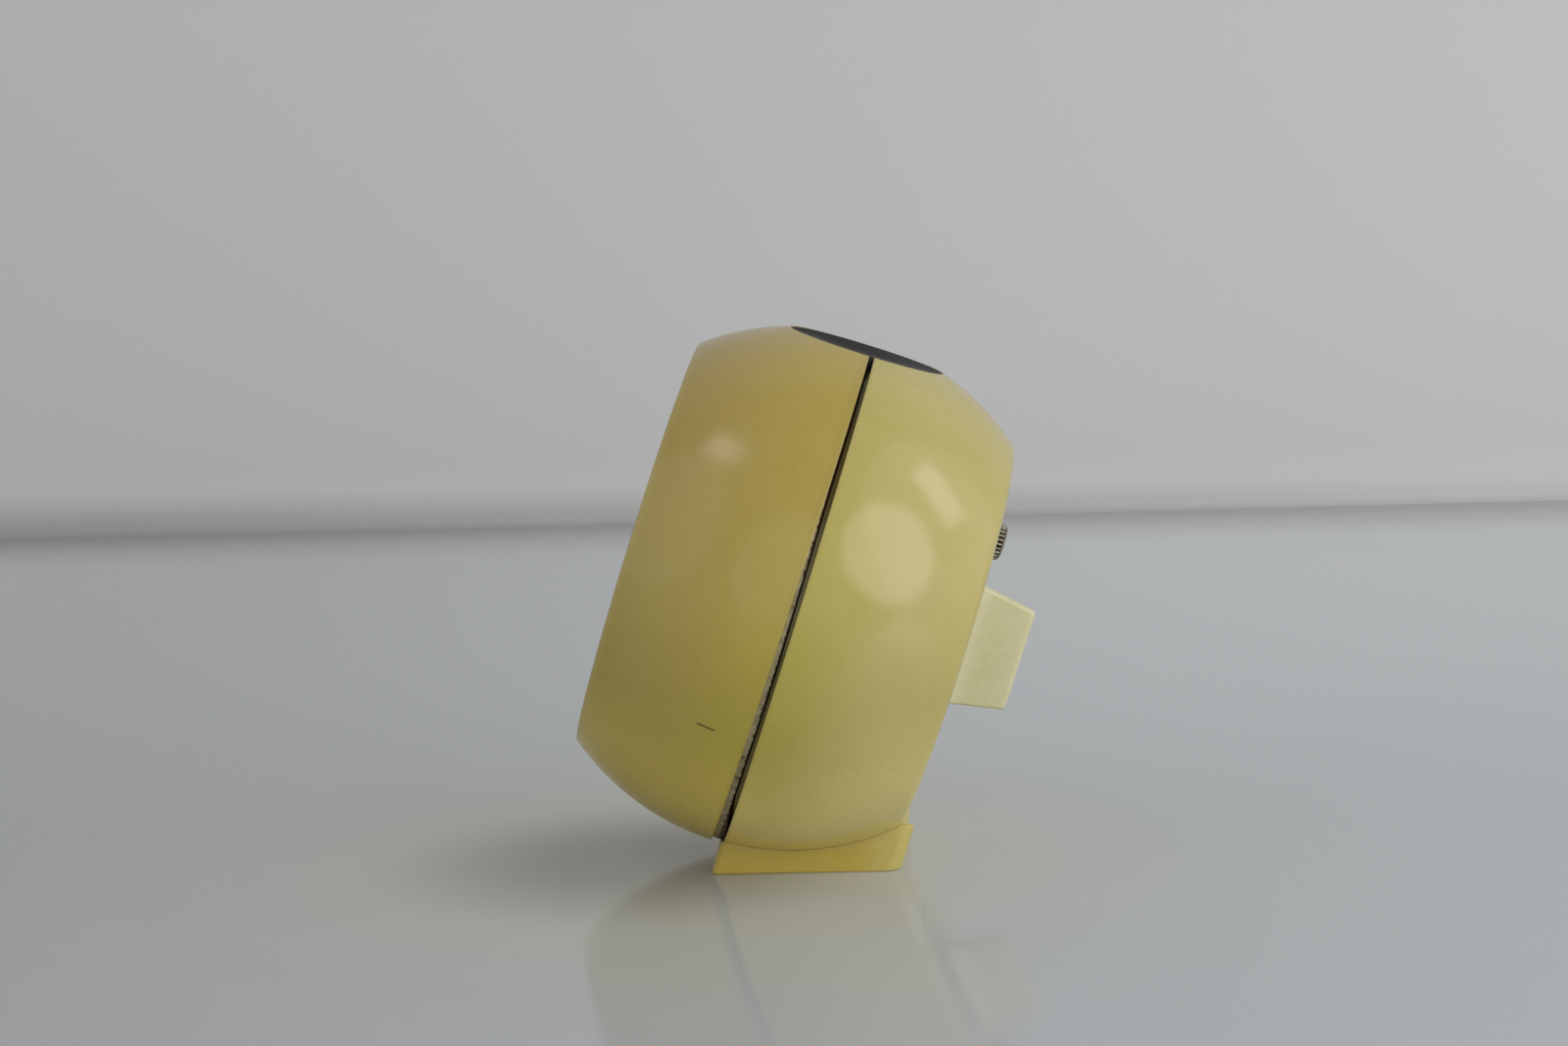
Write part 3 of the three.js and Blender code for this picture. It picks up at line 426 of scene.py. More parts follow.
def lip_material():
    """Inside of the seam: a dirty cream land next to the front shell, and packed brown dirt in the crevice behind it,
    darkened towards black as painted crevice shade.
    """
    n = Nodes("seam_dirt_and_painted_shade")
    _, y, z = n.case_axes()
    edge = n.math("MULTIPLY_ADD", z, 1.3 / 92.0, -0.0001)
    t = n.math("DIVIDE", n.math("SUBTRACT", y, edge), n.math("SUBTRACT", 0.0014, edge))
    t = n.math("ADD", t, n.map_range(n.noise(1500.0, 4.0, 0.65), 0.3, 0.7, -0.22, 0.22))
    limit = n.smooth(z, 0.034, -0.004, -0.15, 0.44)
    dirt_and_shade = n.smooth(n.math("SUBTRACT", t, limit), -0.07, 0.10, 0.0, 1.0)
    cream = n.ramp(n.noise(700.0, 5.0, 0.7), [(0.30, (0.13, 0.09, 0.045)), (0.46, (0.34, 0.275, 0.155)), (0.68, (0.47, 0.39, 0.235))])
    # painted shade: the near-black end of this brown stands in for shade in the crevice, together with real dirt
    brown = n.ramp(n.noise(1300.0, 4.0, 0.7), [(0.34, (0.012, 0.006, 0.002)), (0.60, (0.075, 0.036, 0.012)), (0.80, (0.19, 0.11, 0.045))])
    n.link(n.mix(dirt_and_shade, cream, brown), n.b.inputs["Base Color"])
    n.link(n.map_range(n.noise(800.0, 3.0), 0.3, 0.7, 0.6, 0.85), n.b.inputs["Roughness"])
    n.link(n.bump(n.noise(1500.0, 4.0, 0.7), 0.6, 0.0001), n.b.inputs["Normal"])
    return n.m


LIP = lip_material()
# painted highlight: the foot is lighter towards its rear end, where its rounded corner catches the light from the right
FOOT = plastic("aged_yellow_foot", (0.56, 0.42, 0.070), (0.51, 0.37, 0.054), (0.61, 0.475, 0.105), rough=(0.22, 0.32), mottle=45.0, specks=0.25,
               tones_and_painted_light=((1, 0.022, 0.031, 2, 0.0, -0.01, (0.62, 0.535, 0.19), 0.8),))
KEY = plastic("ivory_key", (0.74, 0.70, 0.435), (0.67, 0.63, 0.36), (0.80, 0.765, 0.52), rough=(0.22, 0.32), mottle=60.0, specks=0.2)
# painted reflection: the black button is lighter grey-brown on its near side and towards its rear, standing in for a
# grazing reflection
BUTTON = plastic("black_button", (0.0065, 0.0062, 0.0056), (0.004, 0.0038, 0.0034), (0.011, 0.0105, 0.0095), rough=(0.42, 0.52), mottle=90.0, specks=0.0, spec=0.024,
                 tones_and_painted_light=((0, -0.004, 0.007, 0, -0.004, 0.006, (0.085, 0.081, 0.067), 0.85), (1, -0.004, 0.010, 2, 0.0, 0.03, (0.045, 0.043, 0.041), 0.8)))
BEZEL = plastic("black_bezel", (0.014, 0.014, 0.015), (0.008, 0.008, 0.009), (0.025, 0.025, 0.027), rough=(0.3, 0.42), mottle=120.0, specks=0.0)
DIALM = plastic("dial_card", (0.80, 0.76, 0.60), (0.74, 0.69, 0.51), (0.84, 0.80, 0.66), rough=(0.5, 0.62), mottle=50.0, specks=0.25)
INK = plastic("dial_ink", (0.02, 0.02, 0.02), (0.012, 0.012, 0.012), (0.03, 0.028, 0.026), rough=(0.5, 0.65), mottle=300.0, specks=0.0)
HAND = plastic("orange_hand", (0.62, 0.115, 0.014), (0.52, 0.085, 0.010), (0.68, 0.16, 0.03), rough=(0.3, 0.42), mottle=140.0, specks=0.0)


def knob_material():
    """Dull knurled metal, bright on the ridges, with dark grime packed between them, darkened further as painted shade
    in the grooves.
    """
    n = Nodes("aged_knob")
    x, y, z = n.case_axes()
    radius = n.math("SQRT", n.math("ADD", n.math("POWER", x, 2.0), n.math("POWER", n.math("SUBTRACT", z, SET_Z * MM), 2.0)))
    ridge = n.smooth(n.math("ADD", radius, n.map_range(n.noise(1400.0, 3.0), 0.3, 0.7, -0.00006, 0.00006)), 0.00288, 0.00318, 0.0, 1.0)
    face = n.smooth(y, 0.0323, 0.0326, 0.0, 0.6)
    bright = n.ramp(n.noise(900.0, 4.0, 0.6), [(0.3, (0.23, 0.215, 0.155)), (0.7, (0.42, 0.40, 0.31))])
    # painted shade: the grooves between the ridges are darkened towards black, as well as grimy
    grime_and_groove_shade = n.ramp(n.noise(1600.0, 3.0), [(0.35, (0.012, 0.009, 0.004)), (0.7, (0.05, 0.038, 0.018))])
    n.link(n.mix(n.math("MAXIMUM", ridge, face), grime_and_groove_shade, bright), n.b.inputs["Base Color"])
    n.link(n.map_range(ridge, 0.0, 1.0, 0.75, 0.34), n.b.inputs["Roughness"])
    n.link(n.map_range(ridge, 0.0, 1.0, 0.2, 1.0), n.b.inputs["Metallic"])
    n.link(n.bump(n.noise(1500.0, 3.0), 0.2, 0.00004), n.b.inputs["Normal"])
    return n.m


KNOB = knob_material()
STEEL = metal("plain_steel", (0.62, 0.63, 0.64), (0.50, 0.51, 0.52), rough=(0.22, 0.38), scale=180.0)
BRASS = metal("stamped_brass", (0.78, 0.60, 0.27), (0.64, 0.46, 0.18), rough=(0.24, 0.42), scale=110.0, tarnish=(0.42, 0.28, 0.10))
BLUED = metal("blued_spring", (0.17, 0.20, 0.27), (0.09, 0.11, 0.16), rough=(0.2, 0.34), scale=260.0)
BELLM = metal("nickel_bell", (0.70, 0.69, 0.66), (0.60, 0.58, 0.54), rough=(0.16, 0.3), scale=70.0, brushed=(9.0, 1.0, 9.0), tarnish=(0.40, 0.34, 0.24))


def glass_material():
    n = Nodes("clear_lens")
    b = n.b
    haze = n.noise(500.0, 3.0, 0.6)
    n.link(n.map_range(haze, 0.4, 0.75, 0.01, 0.05), b.inputs["Roughness"])
    n.link(n.bump(n.noise(60.0, 2.0), 0.03, 0.00005), b.inputs["Normal"])
    n.link(n.ramp(n.noise(30.0, 2.0), [(0.3, (0.97, 0.98, 0.98)), (0.7, (0.99, 0.99, 0.985))]), b.inputs["Base Color"])
    b.inputs["Transmission Weight"].default_value = 1.0
    b.inputs["IOR"].default_value = 1.49
    return n.m


LENS = glass_material()

# ------------------------------------------------------------------ case
SEG = 224
HOLE_R = 13.8


def button_cutter():
    """The flat on top and the button's hole with a small chamfer."""
    bm = lathe(rounded([(0, 34.0), (HOLE_R, 34.0), (HOLE_R, TOP_Z - 0.18), (HOLE_R + 0.18, TOP_Z), (30.0, TOP_Z), (30.0, 60.0), (0, 60.0)]), 144, along="Z", closed=False, phase=0.0061)
    return finish_mesh(bm, "cut_button")


INNER = R - WALL
# front shell: rim, bore for the bezel, outside of the ball, seam edge, spigot
tilt = math.atan2(0.55 + 0.75, 2 * R)


def seam_y(k_z, r):
    """y of the front shell's rear edge: it leans, so the gap opens downwards."""
    return -0.1 + math.tan(tilt) * k_z


def front_shell():
    bm = bmesh.new()
    # outer surface up to the leaning seam edge, ring by ring
    seg = SEG
    prof = [(34.0, -14.9), (34.0, -26.35), (33.55, -26.4)]
    rim = rounded([(33.55, -26.4), (33.55, FRONT_Y + 0.0, 0.35), (math.sqrt(R * R - FRONT_Y ** 2), FRONT_Y, 0.45), arc_angle(R, FRONT_Y, 0, 40)[3]], 5)
    outer = arc_angle(R, rim[-1][1], -1.6, 36)
    prof += rim[1:-1] + outer
    rings = []
    for r, y in prof:
        rings.append([bm.verts.new((r * math.cos(2 * math.pi * k / seg), y, r * math.sin(2 * math.pi * k / seg))) for k in range(seg)])
    # the edge leans, so the gap opens downwards: a small break, a land inside the gap, then the crevice and the spigot
    per = []
    for k in range(seg):
        a = 2 * math.pi * k / seg
        c, s = math.cos(a), math.sin(a)
        y = seam_y(R * s, R)
        f = min(1.0, max(0.0, (36.0 - R * s) / 50.0))
        e = min(1.0, max(0.0, (-33.0 - R * s) / 9.0))
        land = max(0.07, (0.5 * f * f * (3 - 2 * f) + 0.40 * e * e * (3 - 2 * e)) * (1.4 - y))
        y6 = y + land + 0.12
        y7 = max(0.5, y6 + 0.05)
        pts = [(math.sqrt(R * R - (y - 0.16) ** 2), y - 0.16), (R - 0.05, y - 0.05), (R - 0.16, y), (45.5, y + 0.01), (45.38, y + 0.05), (45.38, y + land), (45.2, y + land + 0.07),
               (44.1, y6), (44.0, y7), (43.7, y7 + 0.12), (43.35, y7 + 0.25)]
        per.append([bm.verts.new((r * c, yy, r * s)) for r, yy in pts])
    for i in range(len(per[0])):
        rings.append([q[i] for q in per])
    lip_start = len(rings) - 9
    for r, y in [(43.35, 5.0), (43.15, 5.2), (42.3, 5.2), (42.1, 5.0), (42.1, -3.8)] + arc_angle(42.6, -4.2, -24.4, 16) + [(34.4, -24.9), (34.0, -24.6)]:
        rings.append([bm.verts.new((r * math.cos(2 * math.pi * k / seg), y, r * math.sin(2 * math.pi * k / seg))) for k in range(seg)])
    n = len(rings)
    for i in range(n):
        a, b = rings[i], rings[(i + 1) % n]
        for k in range(seg):
            j = (k + 1) % seg
            f = bm.faces.new((a[k], a[j], b[j], b[k]))
            if lip_start <= i <= lip_start + 7:
                f.material_index = 1
    return finish_mesh(bm, "front_shell", mats=(FRONT, LIP))


front = front_shell()
boolean(front, [button_cutter()])
radial_normals(front)

# rear shell: ball to a rounded corner and the flat back, with its openings
corner = 3.0
yc = REAR_Y - corner
rc = math.sqrt((R - corner) ** 2 - yc * yc)
prof = [(44.6, 1.4), (45.88, 1.4), (R * math.cos(math.asin(1.5 / R)), 1.5)]
tangent_y = yc * R / (R - corner)
prof += arc_angle(R, 2.2, tangent_y, 44)
a0 = math.atan2(yc, rc)
for k in range(1, 13):
    a = a0 + (math.pi / 2 - a0) * k / 12
    prof.append((rc + corner * math.cos(a), yc + corner * math.sin(a)))
prof += [(30.0, REAR_Y), (24.0, REAR_Y), (18.0, REAR_Y), (12.0, REAR_Y), (0, REAR_Y), (0, REAR_Y - WALL), (30.9, REAR_Y - WALL)]
prof += arc_angle(INNER, 27.2, 1.6, 20) + [(43.78, 1.4)]
rear = finish_mesh(lathe(prof, SEG, closed=True), "rear_shell", mats=(REAR, LIP))
cutters = [button_cutter()]
cutters.append(finish_mesh(lathe(rounded([(0, 24), (4.4, 24), (4.4, REAR_Y - 0.35), (4.75, REAR_Y), (4.75, 33), (0, 33)]), 64, closed=False, phase=0.0137), "cut_arbor"))
cutters.append(finish_mesh(lathe([(0, 24), (1.9, 24), (1.9, REAR_Y - 0.2), (2.3, REAR_Y + 0.2), (2.3, 33), (0, 33)], 40, at=(SET_X, SET_Z), closed=False, phase=0.0173), "cut_set"))
BOSSES = [(30.2 * math.cos(math.radians(d)), 30.2 * math.sin(math.radians(d))) for d in (270, 160, 20)]
boolean(rear, [finish_mesh(lathe([(0, 9.1), (2.6, 9.1), (2.6, 28.4), (0, 28.4)], 44, at=b, closed=False, phase=0.0211), f"rear_boss{i}") for i, b in enumerate(BOSSES)], "UNION")
for i, b in enumerate(BOSSES):
    cutters.append(finish_mesh(lathe([(0, 8.0), (1.5, 8.0), (1.5, 27.3), (2.5, 27.3), (2.5, REAR_Y - 0.2), (2.7, REAR_Y), (2.7, 33), (0, 33)], 40, at=b, closed=False, phase=0.0391), f"cut_screw{i}"))
for row in range(4):
    z = -11.5 - row * 4.0
    half = min(12.5, math.sqrt(24.5 ** 2 - z * z) - 2)
    outline = []
    for k in range(13):
        a = -math.pi / 2 + math.pi * k / 12
        outline.append((half - 0.85 + 0.85 * math.cos(a), z + 0.85 * math.sin(a)))
    for k in range(13):
        a = math.pi / 2 + math.pi * k / 12
        outline.append((-(half - 0.85) + 0.85 * math.cos(a), z + 0.85 * math.sin(a)))
    cutters.append(finish_mesh(prism(outline, 26.0, 33.0), f"cut_slot{row}"))
boolean(rear, cutters)
# the edge face towards the seam gets the seam's brown dirt and painted crevice shade
for p in rear.data.polygons:
    c = CASE.inverted() @ p.center
    if abs(c.y - 1.4) < 0.02 and math.hypot(c.x, c.z) < 45.95:
        p.material_index = 1
radial_normals(rear)
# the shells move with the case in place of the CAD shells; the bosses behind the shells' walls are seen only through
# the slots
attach(front, "case")
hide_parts("front_case")
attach(rear, "case")
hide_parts("rear_case")


# ------------------------------------------------------------------ foot
def make_foot():
    W, YF, YR, top, r = 16.6, 1.0, 31.95, 7.9, 2.6
    plan = []
    for x, y, a0, rr in ((W - r, YR - r, 0, r), (-(W - r), YR - r, 90, r), (-(W - 1), YF + 1, 180, 1.0), (W - 1, YF + 1, 270, 1.0)):
        for k in range(9):
            a = math.radians(a0 + 90 * k / 8)
            plan.append((x + rr * math.cos(a), y + rr * math.sin(a)))
    # rings of the leaning prism, cut by the planes z = 0 and z = top in the table's frame
    bm = bmesh.new()
    t = LEAN
    rings = []
    for z in (0.0, 0.25, 0.25 + 1e-3, 2.0, 4.0, 6.0, top - 0.35, top):
        inset = 0.25 if z == 0.0 else (0.3 if z == top else 0.0)
        ring = []
        for x, yb in plan:
            cx, cy = 0.0, (YF + YR) / 2
            x2, y2 = x - math.copysign(inset, x - cx), yb - math.copysign(inset, yb - cy)
            yw = BALL.y + (y2 + (z - BALL.z) * math.sin(t)) / math.cos(t)
            ring.append(bm.verts.new((x2, yw, z)))
        rings.append(ring)
    n = len(plan)
    for a, b in zip(rings, rings[1:]):
        for k in range(n):
            j = (k + 1) % n
            bm.faces.new((a[k], a[j], b[j], b[k]))
    bm.faces.new(list(reversed(rings[0])))
    bm.faces.new(rings[-1])
    ob = finish_mesh(bm, "foot_wedge", IDENT, mats=(FOOT,))
    seat = [(0, -12)] + arc_angle(R + 0.03, -12, tangent_y, 40)
    for k in range(1, 9):
        a = a0_ + (math.pi / 2 - a0_) * k / 8
        seat.append((rc + (corner + 0.03) * math.cos(a), yc + (corner + 0.03) * math.sin(a)))
    seat += [(0, REAR_Y + 0.03)]
    cut = finish_mesh(lathe(seat, 256, closed=False), "cut_seat")
    boolean(ob, [cut])
    # the rear lip is scooped out concentric with the back
    scoop = finish_mesh(lathe([(0, 28), (34.2, 28), (34.2, 36), (0, 36)], 256, closed=False, phase=0.0031), "cut_scoop")
    boolean(ob, [scoop])
    return ob


a0_ = math.atan2(yc, rc)
foot = make_foot()
bevel(foot, 0.00022, 2, 40.0, 50.0)
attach(foot, "case")
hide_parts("foot")


# ------------------------------------------------------------------ winding key
def make_key():
    bm = bmesh.new()
    tip_y, hb, ht = 41.8, 10.6, 8.8
    # (y, half thickness in x, half width in z)
    sections = [(30.35, 3.9, 10.35), (30.6, 4.0, 10.6), (31.0, 3.75, 10.62), (31.5, 3.1, 10.6), (32.1, 2.55, 10.52), (32.9, 2.15, 10.4), (34.0, 1.9, 10.2),
                (36.0, 1.75, 9.86), (38.5, 1.62, 9.42), (40.6, 1.52, 9.03), (41.3, 1.44, 8.9), (41.6, 1.25, 8.72), (tip_y, 0.95, 8.42)]
    rings = []
    for y, hx, hz in sections:
        c = min(0.62, hx * 0.6)
        ring = []
        for sx, sz, a0 in ((1, 1, 0), (-1, 1, 90), (-1, -1, 180), (1, -1, 270)):
            for k in range(6):
                a = math.radians(a0 + 90 * k / 5)
                ring.append(bm.verts.new((sx * (hx - c) + c * math.cos(a), y, sz * (hz - c + (0.5 if sz < 0 else 0.0)) + c * math.sin(a))))
        rings.append(ring)
    n = len(rings[0])
    for a, b in zip(rings, rings[1:]):
        for k in range(n):
            j = (k + 1) % n
            bm.faces.new((a[k], a[j], b[j], b[k]))
    bm.faces.new(list(reversed(rings[0])))
    bm.faces.new(rings[-1])
    ob = finish_mesh(bm, "winding_grip", mats=(KEY,), angle=60)
    hub = finish_mesh(lathe(rounded([(0, 27.05), (3.9, 27.05, 0.3), (3.9, 30.9), (0, 30.9)]), 64, closed=False), "key_hub")
    boolean(ob, [hub], "UNION")
    return ob


key = make_key()
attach(key, "winding_group")
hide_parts("winding_key")


# ------------------------------------------------------------------ setting knob
def make_knob():
    bm = bmesh.new()
    teeth, per = 24, 8
    seg = teeth * per
    prof = [(0.0, 30.15, 0), (2.9, 30.15, 0), (3.08, 30.3, 0.6), (3.22, 30.55, 1), (3.22, 31.2, 1), (3.22, 32.1, 1), (3.05, 32.4, 0.6), (2.75, 32.62, 0), (2.4, 32.78, 0), (1.7, 32.84, 0), (0.0, 32.85, 0)]
    rings = []
    for r, y, w in prof:
        if r == 0:
            rings.append([bm.verts.new((SET_X, y, SET_Z))])
            continue
        ring = []
        for k in range(seg):
            a = 2 * math.pi * k / seg
            ph = (k % per) / per
            depth = 0.42 * (0.5 - 0.5 * math.cos(2 * math.pi * ph)) ** 1.3 * w
            ring.append(bm.verts.new((SET_X + (r - depth) * math.cos(a), y, SET_Z + (r - depth) * math.sin(a))))
        rings.append(ring)
    for a, b in zip(rings, rings[1:]):
        for k in range(seg):
            j = (k + 1) % seg
            if len(a) == 1:
                bm.faces.new((a[0], b[j], b[k]))
            elif len(b) == 1:
                bm.faces.new((a[k], a[j], b[0]))
            else:
                bm.faces.new((a[k], a[j], b[j], b[k]))
    return finish_mesh(bm, "knurled_knob", mats=(KNOB,), angle=28)


knob = make_knob()
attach(knob, "setting_group")
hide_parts("setting_knob")

# ------------------------------------------------------------------ stop button
bprof = rounded([(0, 33.4), (1.9, 33.4, 0.25), (1.9, 41.2), (11.9, 41.2), (11.9, 39.4), (13.6, 39.4, 0.1), (13.6, TOP_Z - 0.02, 0.22), (12.9, TOP_Z - 0.02)], 5)
dish = [(13.6 * k / 20, TOP_Z - 0.02 - 0.5 * (1 - (k / 20) ** 2) ** 1.4) for k in range(18, -1, -1)]
button = finish_mesh(lathe(bprof + dish, 160, along="Z", closed=False), "round_button", mats=(BUTTON,))
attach(button, "button")
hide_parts("stop_button")

# ------------------------------------------------------------------ return spring
def make_spring(turns=3.2, radius=3.1, wire=0.28, low=37.65, high=40.70, per_turn=40, seg=10):
    """Round wire coiled round the stem, open at both ends."""
    bm = bmesh.new()
    n = int(turns * per_turn)
    rise = (high - low) / turns
    slope = math.atan2(rise, 2 * math.pi * radius)
    rings = []
    for i in range(n + 1):
        a = 2 * math.pi * i / per_turn
        z = low + (high - low) * i / n
        ring = []
        for k in range(seg):
            b = 2 * math.pi * k / seg
            out, up = wire * math.cos(b), wire * math.sin(b)
            side = -up * math.sin(slope)
            ring.append(bm.verts.new(((radius + out) * math.cos(a) - side * math.sin(a), (radius + out) * math.sin(a) + side * math.cos(a), z + up * math.cos(slope))))
        rings.append(ring)
    for p, q in zip(rings, rings[1:]):
        for k in range(seg):
            bm.faces.new((p[k], q[k], q[(k + 1) % seg], p[(k + 1) % seg]))
    bm.faces.new(rings[0])
    bm.faces.new(list(reversed(rings[-1])))
    return finish_mesh(bm, "coil_spring", angle=50, mats=(BLUED,))


spring = make_spring()
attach(spring, "case")
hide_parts("button_spring")
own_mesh(spring)

# ------------------------------------------------------------------ dial side
bezel = finish_mesh(lathe(rounded([(30.6, -26.7), (30.6, -27.45, 0.15), (31.0, -27.6, 0.15), (33.2, -27.6, 0.3), (33.2, -15.2), (32.35, -15.2), (32.35, -26.1), (31.0, -26.1), (30.6, -26.7)])[:-1], 160, closed=True), "bezel", mats=(BEZEL,))
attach(bezel, "case")
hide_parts("bezel_ring")
lens = finish_mesh(lathe(rounded([(0, -25.9), (32.0, -25.9, 0.15), (32.0, -24.5, 0.15), (0, -24.5)]), 128, closed=False), "clear_lens_disc", mats=(LENS,))
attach(lens, "case")
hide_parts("lens")
spacer = finish_mesh(lathe([(31.1, -24.3), (32.0, -24.3), (32.0, -16.8), (29.4, -16.8), (29.6, -17.4)], 128, closed=True), "dial_reveal", mats=(BEZEL,))
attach(spacer, "case")
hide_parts("dial_spacer")
dial = finish_mesh(lathe([(2.6, -16.6), (8.0, -16.6), (16.0, -16.6), (24.0, -16.6), (32.0, -16.6), (32.0, -15.8), (2.6, -15.8)], 128, closed=True), "dial_plate", mats=(DIALM,))
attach(dial, "case")
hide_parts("dial")

bm = bmesh.new()
for i in range(60):
    a = 2 * math.pi * i / 60
    five = i % 5 == 0
    r0, r1, w = (24.4, 28.4, 0.42) if five else (26.6, 28.4, 0.17)
    c, s = math.sin(a), math.cos(a)
    prism([(r0 * c + w * s, r0 * s - w * c), (r1 * c + w * s, r1 * s - w * c), (r1 * c - w * s, r1 * s + w * c), (r0 * c - w * s, r0 * s + w * c)], -16.68, -16.602, bm)
lathe([(28.4, -16.68), (28.75, -16.68), (28.75, -16.602), (28.4, -16.602)], 128, closed=True, bm=bm)
marks = finish_mesh(bm, "minute_marks", mats=(INK,))
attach(marks, "case")


def number(text, x, z, size):
    cu = bpy.data.curves.new("n_" + text, "FONT")
    cu.body, cu.size, cu.align_x, cu.align_y, cu.extrude = text, size, "CENTER", "CENTER", 0.04
    ob = bpy.data.objects.new("n_" + text, cu)
    bpy.context.scene.collection.objects.link(ob)
    bpy.context.view_layer.update()
    me = bpy.data.meshes.new_from_object(ob.evaluated_get(bpy.context.evaluated_depsgraph_get()))
    bpy.data.objects.remove(ob)
    bpy.data.curves.remove(cu)
    b = bmesh.new()
    b.from_mesh(me)
    bpy.data.meshes.remove(me)
    b.transform(Matrix.Translation((x, -16.645, z)) @ Matrix.Rotation(math.pi / 2, 4, "X"))
    return b


bm = bmesh.new()
for i in range(12):
    a = 2 * math.pi * i / 12
    b = number(str(i * 5), 20.6 * math.sin(a), 20.6 * math.cos(a), 5.6)
    tmp = bpy.data.meshes.new("tmp")
    b.to_mesh(tmp)
    b.free()
    bm.from_mesh(tmp)
    bpy.data.meshes.remove(tmp)
numbers = finish_mesh(bm, "minute_numbers", mats=(INK,))
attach(numbers, "case")

# pointer
bm = bmesh.new()
outline = [(-1.5, -7.4), (0.0, -7.7), (1.5, -7.4), (1.35, -4.0), (1.1, 0.0), (0.75, 12.0), (0.42, 23.6), (0.0, 25.4), (-0.42, 23.6), (-0.75, 12.0), (-1.1, 0.0), (-1.35, -4.0)]
prism(outline, -19.1, -18.3, bm)
blade = finish_mesh(bm, "pointer_blade", mats=(HAND,))
hub = finish_mesh(lathe(rounded([(0, -20.8), (2.2, -20.8, 0.5), (3.4, -20.0, 0.3), (3.5, -17.85), (1.02, -17.85), (1.02, -19.4), (0, -19.4)]), 64, closed=False), "pointer_hub")
boolean(blade, [hub], "UNION")
bevel(blade, 0.00012, 2, 40.0, 50.0)
blade.name = "pointer_hand"
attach(blade, "pointer_group")
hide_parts("pointer")


# ------------------------------------------------------------------ screws in the back
def make_screw(i, b):
    bm = lathe(rounded([(0, -5.9), (1.08, -5.9), (1.08, 27.45), (2.25, 27.45, 0.12), (2.25, 28.3, 0.25), (1.5, 28.85, 0.6), (0, 29.0)]), 40, at=b, closed=False)
    ob = finish_mesh(bm, f"back_screw_{i}", mats=(STEEL,))
    c = finish_mesh(prism([(b[0] - 3, b[1] - 0.28), (b[0] + 3, b[1] - 0.28), (b[0] + 3, b[1] + 0.28), (b[0] - 3, b[1] + 0.28)], 28.35, 30.0), "cut_slot")
    boolean(ob, [c])
    return ob


for i, (b, node) in enumerate(zip(BOSSES, ("case_screw_bottom", "case_screw_left", "case_screw_right"))):
    s = make_screw(i, b)
    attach(s, "case")
    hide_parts(node)

# ------------------------------------------------------------------ the clockwork keeps its CAD shapes
slot_of = {s["node"]: s["material_slot"] for s in frame["record"]["subparts"]}
by_slot = {"steel": STEEL, "brass": BRASS, "spring_steel": BLUED, "black_plastic": BEZEL, "case_plastic": REAR, "foot_plastic": FOOT, "key_plastic": KEY,
           "dial": DIALM, "pointer": HAND, "lens": LENS, "aged_metal": KNOB}
for node, ob in frame["nodes"].items():
    mat = BELLM if node == "bell" else by_slot[slot_of[node]]
    ob.data.materials.clear()
    ob.data.materials.append(mat)

# ------------------------------------------------------------------ stage
EDGE_X, EDGE_SLOPE = -0.4764, -0.01724  # the table's far edge: x at y = 0, and its slope


def far(n):
    """Distance in front of the far edge, metres."""
    x, y, z = n.split()
    return n.math("SUBTRACT", x, n.math("ADD", n.math("MULTIPLY", y, EDGE_SLOPE), EDGE_X)), z


n = Nodes("table_top")
base = n.ramp(n.noise(2.4, 3.0, 0.5), [(0.3, (0.405, 0.425, 0.442)), (0.7, (0.435, 0.452, 0.468))])
depth, _ = far(n)
# painted light: the table is lighter towards the far edge and towards the camera; painted shade darkens it right at the
# far edge, where it meets the backdrop
base = n.mix(n.smooth(depth, 0.55, 0.12, 0.0, 0.28), base, (0.60, 0.62, 0.635))
base = n.mix(n.smooth(depth, 0.42, 0.72, 0.0, 0.35), base, (0.55, 0.555, 0.58))
base = n.mix(n.smooth(depth, 0.085, 0.0, 0.0, 0.72), base, (0.20, 0.195, 0.175))
# darker to the left, as in the light of one side
base = n.mix(n.smooth(n.split()[1], 0.10, -0.22, 0.0, 0.30), base, (0.10, 0.10, 0.105))
# painted light: the top glows a little all round, though it is no lamp, filling in the shadows; under the ball's front
# the glow turns to a dim brown, a painted contact shadow
dist = n.vmath("DISTANCE", n.co, (0.006, -0.030, 0.0))
glow = n.smooth(dist, 0.010, 0.052, 0.25, 1.0)
# the ball's own yellow light on the table round the foot
base = n.mix(n.smooth(dist, 0.110, 0.030, 0.0, 0.5), base, (0.43, 0.425, 0.33))
n.link(n.mix(1.0, base, (0.58, 0.58, 0.58), "MULTIPLY"), n.b.inputs["Base Color"])
n.link(n.mix(glow, (0.035, 0.030, 0.018), base), n.b.inputs["Emission Color"])
n.b.inputs["Emission Strength"].default_value = 0.38
n.link(n.map_range(n.noise(9.0, 4.0, 0.6), 0.3, 0.7, 0.09, 0.13), n.b.inputs["Roughness"])
n.link(n.bump(n.noise(14.0, 2.0), 0.03, 0.0004), n.b.inputs["Normal"])
TABLE = n.m
n = Nodes("backdrop")
base = n.ramp(n.noise(1.3, 2.0), [(0.3, (0.735, 0.735, 0.735)), (0.7, (0.77, 0.77, 0.77))])
_, z = far(n)
side = n.split()[1]
# painted shade: the backdrop darkens towards its foot, where it meets the table, more strongly on the left
reach = n.map_range(side, -0.25, 0.22, 0.0165, 0.0100)
dark = n.math("MULTIPLY", n.smooth(n.math("DIVIDE", z, reach), 1.0, 0.0, 0.0, 1.0), n.map_range(side, -0.25, 0.22, 0.66, 0.22))
base = n.mix(dark, base, (0.30, 0.295, 0.275))
n.link(base, n.b.inputs["Base Color"])
n.link(n.map_range(n.noise(5.0), 0.3, 0.7, 0.7, 0.9), n.b.inputs["Roughness"])
BACK = n.m

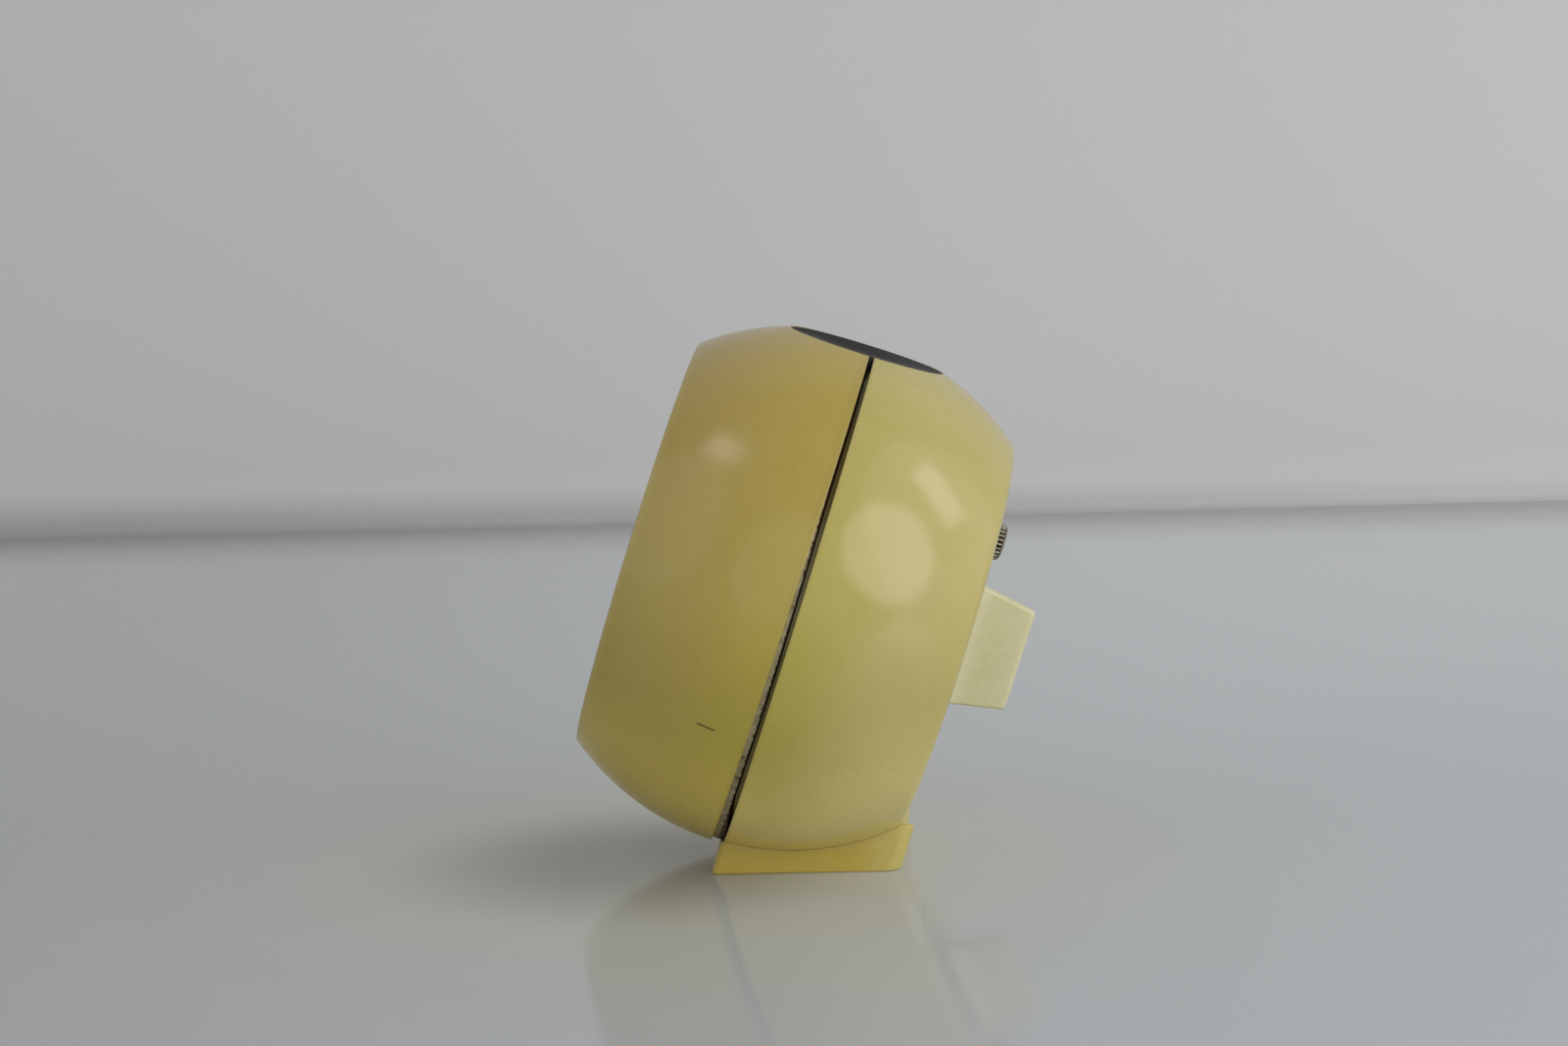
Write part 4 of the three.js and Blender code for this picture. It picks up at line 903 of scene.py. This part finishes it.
bm = bmesh.new()
pts = [(2.2 - EDGE_X, 0.0), (0.0, 0.0), (-0.004, 0.0006), (-0.006, 0.003), (-0.0065, 0.02), (-0.0065, 0.06), (-0.0065, 2.2)]
rows = [[bm.verts.new((EDGE_X + EDGE_SLOPE * y + x, y, z)) for y in (-2.6, 2.6)] for x, z in pts]
for i, (a, b) in enumerate(zip(rows, rows[1:])):
    f = bm.faces.new((a[0], a[1], b[1], b[0]))
    f.material_index = 0 if i < 1 else 1
me = bpy.data.meshes.new("floor_sweep")
bm.to_mesh(me)
bm.free()
me.polygons.foreach_set("use_smooth", [True] * len(me.polygons))
floor = bpy.data.objects.new("floor_sweep", me)
bpy.context.scene.collection.objects.link(floor)
floor.location.z = -0.00002
me.materials.append(TABLE)
me.materials.append(BACK)


# ------------------------------------------------------------------ light
def area(name, direction, distance, size, power, colour=(1, 1, 1), shape="DISK", size_y=None, target=BALL * MM):
    d = Vector(direction).normalized()
    li = bpy.data.lights.new(name, "AREA")
    li.shape, li.size, li.energy, li.color = shape, size, power, colour
    if size_y:
        li.size_y = size_y
    ob = bpy.data.objects.new(name, li)
    ob.location = target + d * distance
    ob.rotation_euler = (-d).to_track_quat("-Z", "Y").to_euler()
    bpy.context.scene.collection.objects.link(ob)
    return ob


area("round_diffuser", (0.668, 0.67, 0.323), 0.75, 0.54, 1.65)
area("side_window", (0.09, 0.84, 0.53), 1.1, 0.25, 0.80, shape="RECTANGLE", size_y=0.42)
area("overhead_small", (0.253, -0.378, 0.891), 1.3, 0.36, 0.62, shape="RECTANGLE", size_y=0.22)
area("right_soft", (0.25, 0.88, 0.36), 1.5, 2.0, 6.5)
area("left_disc", (0.40, -0.72, 0.50), 0.9, 0.84, 0.75)
area("front_soft", (1.0, 0.05, 0.22), 1.6, 1.6, 3.0)

# the surroundings are brighter near the horizon than overhead
world = bpy.data.worlds.new("studio")
bpy.context.scene.world = world
world.use_nodes = True
wt = world.node_tree
bg = wt.nodes["Background"]
gen = wt.nodes.new("ShaderNodeTexCoord")
sep = wt.nodes.new("ShaderNodeSeparateXYZ")
ramp = wt.nodes.new("ShaderNodeMapRange")
wt.links.new(gen.outputs["Generated"], sep.inputs[0])
wt.links.new(sep.outputs[2], ramp.inputs[0])
ramp.inputs[1].default_value, ramp.inputs[2].default_value = 0.0, 0.9
ramp.inputs[3].default_value, ramp.inputs[4].default_value = 0.44, 0.14
wt.links.new(ramp.outputs[0], bg.inputs[1])
bg.inputs[0].default_value = (1.0, 1.0, 1.0, 1)

# ------------------------------------------------------------------ camera
cam_data = bpy.data.cameras.new("camera")
cam = bpy.data.objects.new("camera", cam_data)
bpy.context.scene.collection.objects.link(cam)
right = Vector((-0.03422333, 0.9990367, -0.02746706))
up = Vector((-0.12499401, 0.02298877, 0.99189113))
back = -Vector((-0.99156707, -0.03737903, -0.12408685))
cam.matrix_world = Matrix((
    (right.x, up.x, back.x, 0.509542),
    (right.y, up.y, back.y, 0.016401),
    (right.z, up.z, back.z, 0.122341),
    (0, 0, 0, 1)))
cam_data.sensor_width = 36.0
cam_data.lens = 2999.0 / 1600.0 * 36.0
cam_data.clip_start = 0.01
bpy.context.scene.camera = cam
bpy.context.scene.view_settings.view_transform = "Standard"
